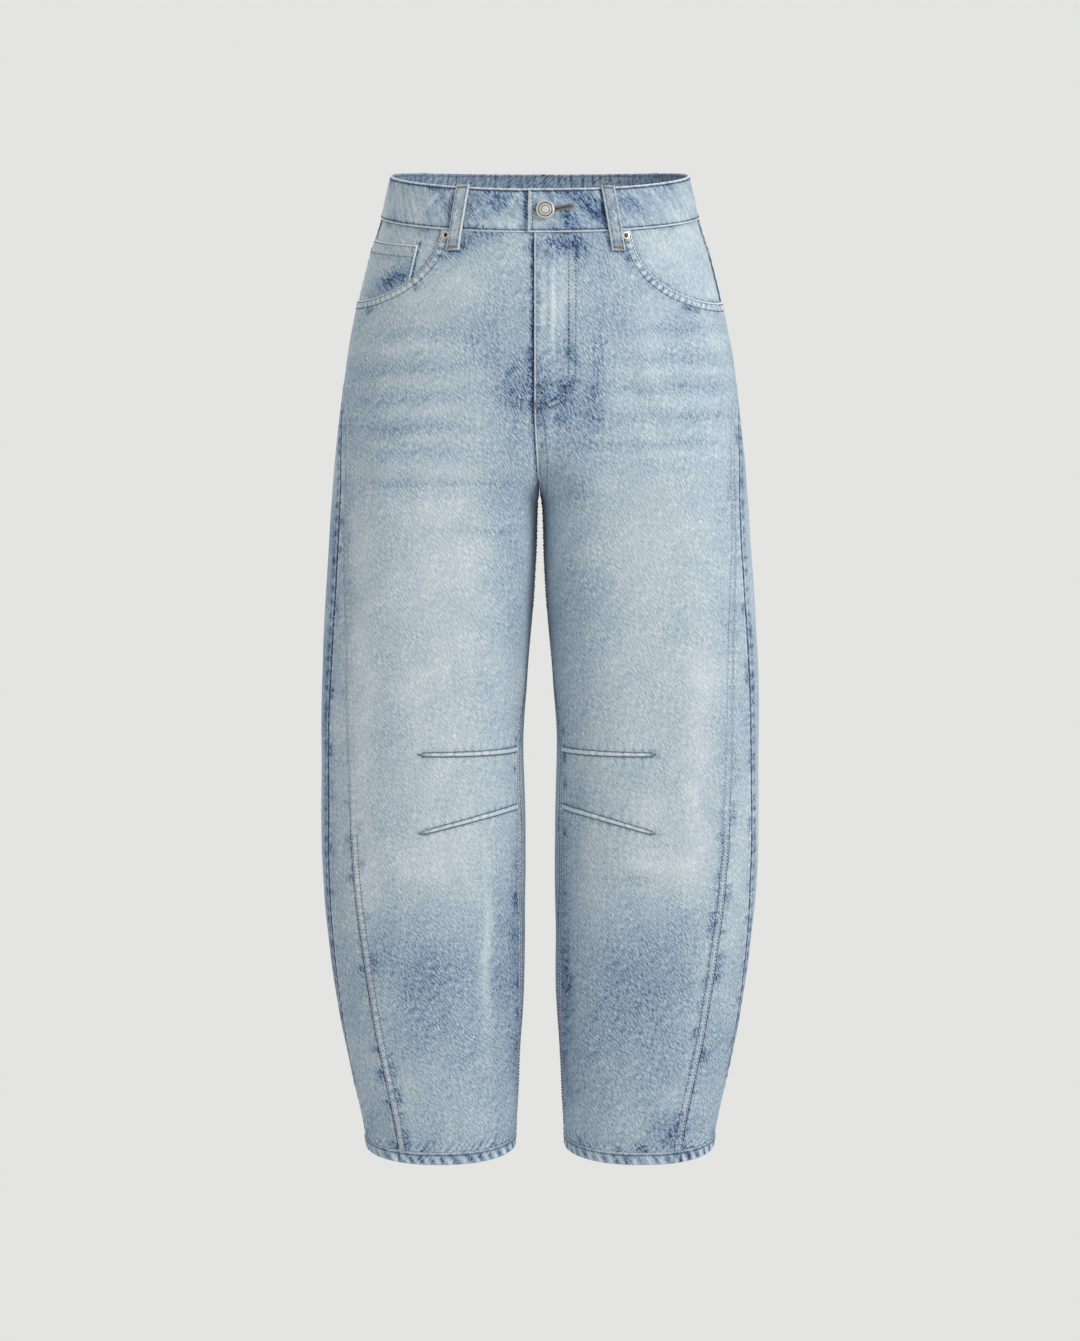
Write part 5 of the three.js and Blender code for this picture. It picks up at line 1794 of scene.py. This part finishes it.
def sew_tacks():
    """Tan bartacks at the fly and the pockets, and the buttonhole."""
    thread = Thread()
    fly_tack(thread, np.linspace(-3.6, 5.4, 13), np.full(13, -186.0), 2.4)
    height = np.linspace(-198, -207, 13)
    fly_tack(thread, -2.6 + 0.25 * (height + 198), height, 2.6)
    for share in (0.05, 0.95):
        place, _, up, out = frame_on(-1, *coin_place(share, 4.5), FACING_LAYER + LAY_GAP + 1.35)
        bartack(thread, place, up, out, 6.5, 1.8)
    for _, mirror in SIDES:
        for share in (0.03, 0.97):
            z, x = pocket_place(share, 0.03)
            place, _, up, out = frame_on(mirror, z, angle_at_x(z, 0, x), LAY_GAP + CLOTH + 0.35)
            bartack(thread, place, up, out, 8, 2.0)
    thread.make("bartacks_pockets_and_fly", TAN)
    hole, slit_shade = Thread(), Thread()
    start, stop = BUTTONHOLE
    for x in np.arange(start, stop, TACK_PITCH):
        z = 0.4 + 0.2 * (x - start)
        angle = -angle_at_x(z, 0, x)
        rise = band_face(z, angle) + 0.3
        place, across, up, out = frame_on(1, z, angle, rise)
        for sign in (-1, 1):
            hole.add(place + up * sign * 1.65, up, out, 2.0, 0.38)
        # Painted shade in the buttonhole's opening
        slit_shade.add(place - out * 0.05, across, out, 1.1, 0.6)
    place, across, up, out = frame_on(1, z, -angle_at_x(z, 0, stop + 0.3), rise)
    for turn in np.linspace(-1.3, 1.3, 7):
        way = across * math.cos(turn) + up * math.sin(turn)
        hole.add(place + way * 1.7, way, out, 2.3, 0.4)
    hole.make("buttonhole", TAN)
    slit_shade.make("buttonhole_slit", SLIT_SHADE)


# Metal
def turned(name, profile, segments, place, out, material):
    """A round piece from a profile of radius and height, turned about the way out."""
    profile = np.array(profile, float)
    turns = np.linspace(0, 2 * PI, segments, endpoint=False)
    side = unit(np.cross(out, [0.3, 0.2, 1.0]))
    other = np.cross(out, side)
    ring = np.cos(turns)[:, None] * side + np.sin(turns)[:, None] * other
    inner = profile[1:-1]
    points = [place + out * profile[0, 1], place + out * profile[-1, 1]]
    for radius, height in inner:
        points += list(place + out * height + ring * radius)
    last = len(inner) - 1

    def at(row, k):
        return 2 + row * segments + k % segments

    faces = []
    for k in range(segments):
        faces.append([0, at(0, k + 1), at(0, k)])
        faces.append([1, at(last, k), at(last, k + 1)])
        for row in range(last):
            faces.append([at(row, k), at(row, k + 1), at(row + 1, k + 1), at(row + 1, k)])
    points = np.array(points)
    uv = np.stack([(points - place) @ side, (points - place) @ other], -1)
    obj = finish_mesh(name, points, faces, uv, {}, material, crease=32)
    return obj


def ringed(name, section, place, across, up, out):
    """A dark ring of tarnish in a groove, from its section of radius and height."""
    turns = np.linspace(0, 2 * PI, 72, endpoint=False)[:, None, None]
    section = np.array(section, float)[None]
    way = np.cos(turns) * across + np.sin(turns) * up
    grid = place + way * section[..., :1] + out * section[..., 1:]
    flat = np.stack([(grid - place) @ across, (grid - place) @ up], -1)
    tube(name, grid, flat, {}, DARK, True)


def arc(start, stop, steps, bulge):
    """Points of a soft bend from one profile point to the next."""
    start, stop = np.array(start, float), np.array(stop, float)
    way = stop - start
    side = np.array([-way[1], way[0]])
    t = np.linspace(0, 1, steps)
    return [tuple(start + way * u + side * bulge * math.sin(PI * u) * 0.5) for u in t]


def waist_button():
    z, x = BUTTON_PLACE
    place, across, up, out = frame_on(1, z, -angle_at_x(z, 0, x), BAND_OUT + 2 + LAY_GAP)
    top = 5.2
    profile = [(0, 0), (3, 0), (3, 2.5), *arc((7.7, 2.6), (8.5, 3.3), 4, -0.4)]
    profile += arc((8.5, 3.5), (7.6, top), 5, -0.5)
    face = [(7.1, 0.05), (6.8, 0.5), (6.5, 0.9), (6.0, 0.9), (5.7, 0.55), (5.0, 0.45), (4.3, 0.45),
            (4.0, 0.8), (3.6, 0.8), (3.3, 0.5), (2.6, 0.4), (1.8, 0.3), (0.8, 0.22), (0, 0.2)]
    profile += [(radius, top - dip) for radius, dip in face]
    obj = turned("waist_button", profile, 72, place, out, BUTTON)
    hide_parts("waist_button")
    low = top - 0.82
    high = low + 0.07
    for number, (inner, outer) in enumerate(((5.9, 6.6), (3.5, 4.1))):
        ring = [(inner, low), (inner + 0.1, high), (outer - 0.1, high), (outer, low), (inner, low - 0.1)]
        ringed(f"waist_button_ring_{number + 1}", ring, place, across, up, out)


def rivet(side, mirror):
    angle = -math.radians(MOUTHS[side]["angle"] + 2.5)
    place, _, _, out = frame_on(mirror, BAND_BOTTOM - 5, angle, LAY_GAP)
    profile = [(0, 0), (3.9, 0), *arc((3.9, 0.35), (3.3, 1.15), 4, -0.4), (2.6, 1.2), (2.15, 0.95)]
    profile += [(1.9, 0.6), (1.2, 0.5), (0.6, 0.46), (0, 0.45)]
    obj = turned(f"rivet_{side}", profile, 48, place, out, RIVET)
    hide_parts(f"rivet_{side}")
    dot = [(0, 0.4), (1.92, 0.4), (1.92, 0.64), (1.3, 0.72), (0, 0.74)]
    turned(f"rivet_{side}_middle", dot, 32, place, out, DARK)


for side, mirror in SIDES:
    front_panel(side, mirror)
    back_panel(side, mirror)
    side_panel(side, mirror)
    yoke(side, mirror)
    back_pocket(side, mirror)
    pocket_facing(side, mirror)
    hem(side, mirror)
    for name in DARTS:
        knee_dart(side, mirror, name)
coin_pocket()
waistband()
for name, (mirror, top, foot) in LOOPS.items():
    belt_loop(name, mirror, top, foot)

for name, obj in list(made.items()):
    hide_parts(name)

for side, mirror in SIDES:
    sew_front(side, mirror)
    sew_back(side, mirror)
    sew_hem(side, mirror)
    rivet(side, mirror)
sew_facing()
sew_band()
sew_loops()
sew_tacks()
waist_button()


for name, (width, length, area) in cuts.items():
    side = name.split("_")[-1]

# Light: a pale world that is dimmer as a light than as a backdrop, a key from the picture's right and a
# weaker light from behind
world = bpy.data.worlds.new("World")
world.use_nodes = True
tree = world.node_tree
tree.nodes.clear()
PALE = (*linear(228, 228, 226), 1)
MIDDLE = (0, 0, -0.45)


def backdrop(colour, strength):
    node = tree.nodes.new("ShaderNodeBackground")
    node.inputs["Color"].default_value = colour
    node.inputs["Strength"].default_value = strength
    return node


path = tree.nodes.new("ShaderNodeLightPath")
choice = tree.nodes.new("ShaderNodeMixShader")
surface = tree.nodes.new("ShaderNodeOutputWorld")
tree.links.new(path.outputs["Is Camera Ray"], choice.inputs[0])
tree.links.new(backdrop((0.985, 0.99, 0.99, 1), 0.68).outputs[0], choice.inputs[1])
tree.links.new(backdrop(PALE, 1.0).outputs[0], choice.inputs[2])
tree.links.new(choice.outputs[0], surface.inputs["Surface"])
bpy.context.scene.world = world


def area_light(name, place, size, power):
    """A round light that faces the middle of the trousers."""
    data = bpy.data.lights.new(name, "AREA")
    data.shape = "DISK"
    data.size = size
    data.energy = power
    obj = bpy.data.objects.new(name, data)
    obj.location = place
    obj.rotation_euler = (Vector(MIDDLE) - Vector(place)).to_track_quat("-Z", "Y").to_euler()
    obj.visible_camera = False
    bpy.context.scene.collection.objects.link(obj)


area_light("Key light", (2.3, -2.0, 1.1), 1.1, 52)
area_light("Back light", (-1.4, 2.6, 1.3), 1.6, 30)

# Pale floor
FLOOR = -1.03
floor_mesh = bpy.data.meshes.new("Floor")
turns = np.linspace(0, 2 * PI, 96, endpoint=False)
floor_mesh.from_pydata([(4 * math.cos(a), 4 * math.sin(a), FLOOR) for a in turns], [], [list(range(96))])
floor_material = bpy.data.materials.new("Pale floor")
floor_material.use_nodes = True
floor_nodes, floor_links = floor_material.node_tree.nodes, floor_material.node_tree.links
floor_nodes.clear()
glow = floor_nodes.new("ShaderNodeEmission")
glow.inputs["Color"].default_value = PALE
floor_output = floor_nodes.new("ShaderNodeOutputMaterial")
floor_links.new(glow.outputs[0], floor_output.inputs["Surface"])
floor_mesh.materials.append(floor_material)
floor = bpy.data.objects.new("Floor", floor_mesh)
floor.visible_diffuse = False
floor.visible_glossy = False
bpy.context.scene.collection.objects.link(floor)

camera_data = bpy.data.cameras.new("Camera")
camera_data.lens = LENS
camera_data.sensor_width = SENSOR
camera_data.clip_start = 0.05
camera = bpy.data.objects.new("Camera", camera_data)
camera.location = CAMERA * MM
camera.rotation_euler = (math.radians(90) - TILT, 0, 0)
bpy.context.scene.collection.objects.link(camera)
bpy.context.scene.camera = camera
bpy.context.scene.view_settings.view_transform = "Standard"
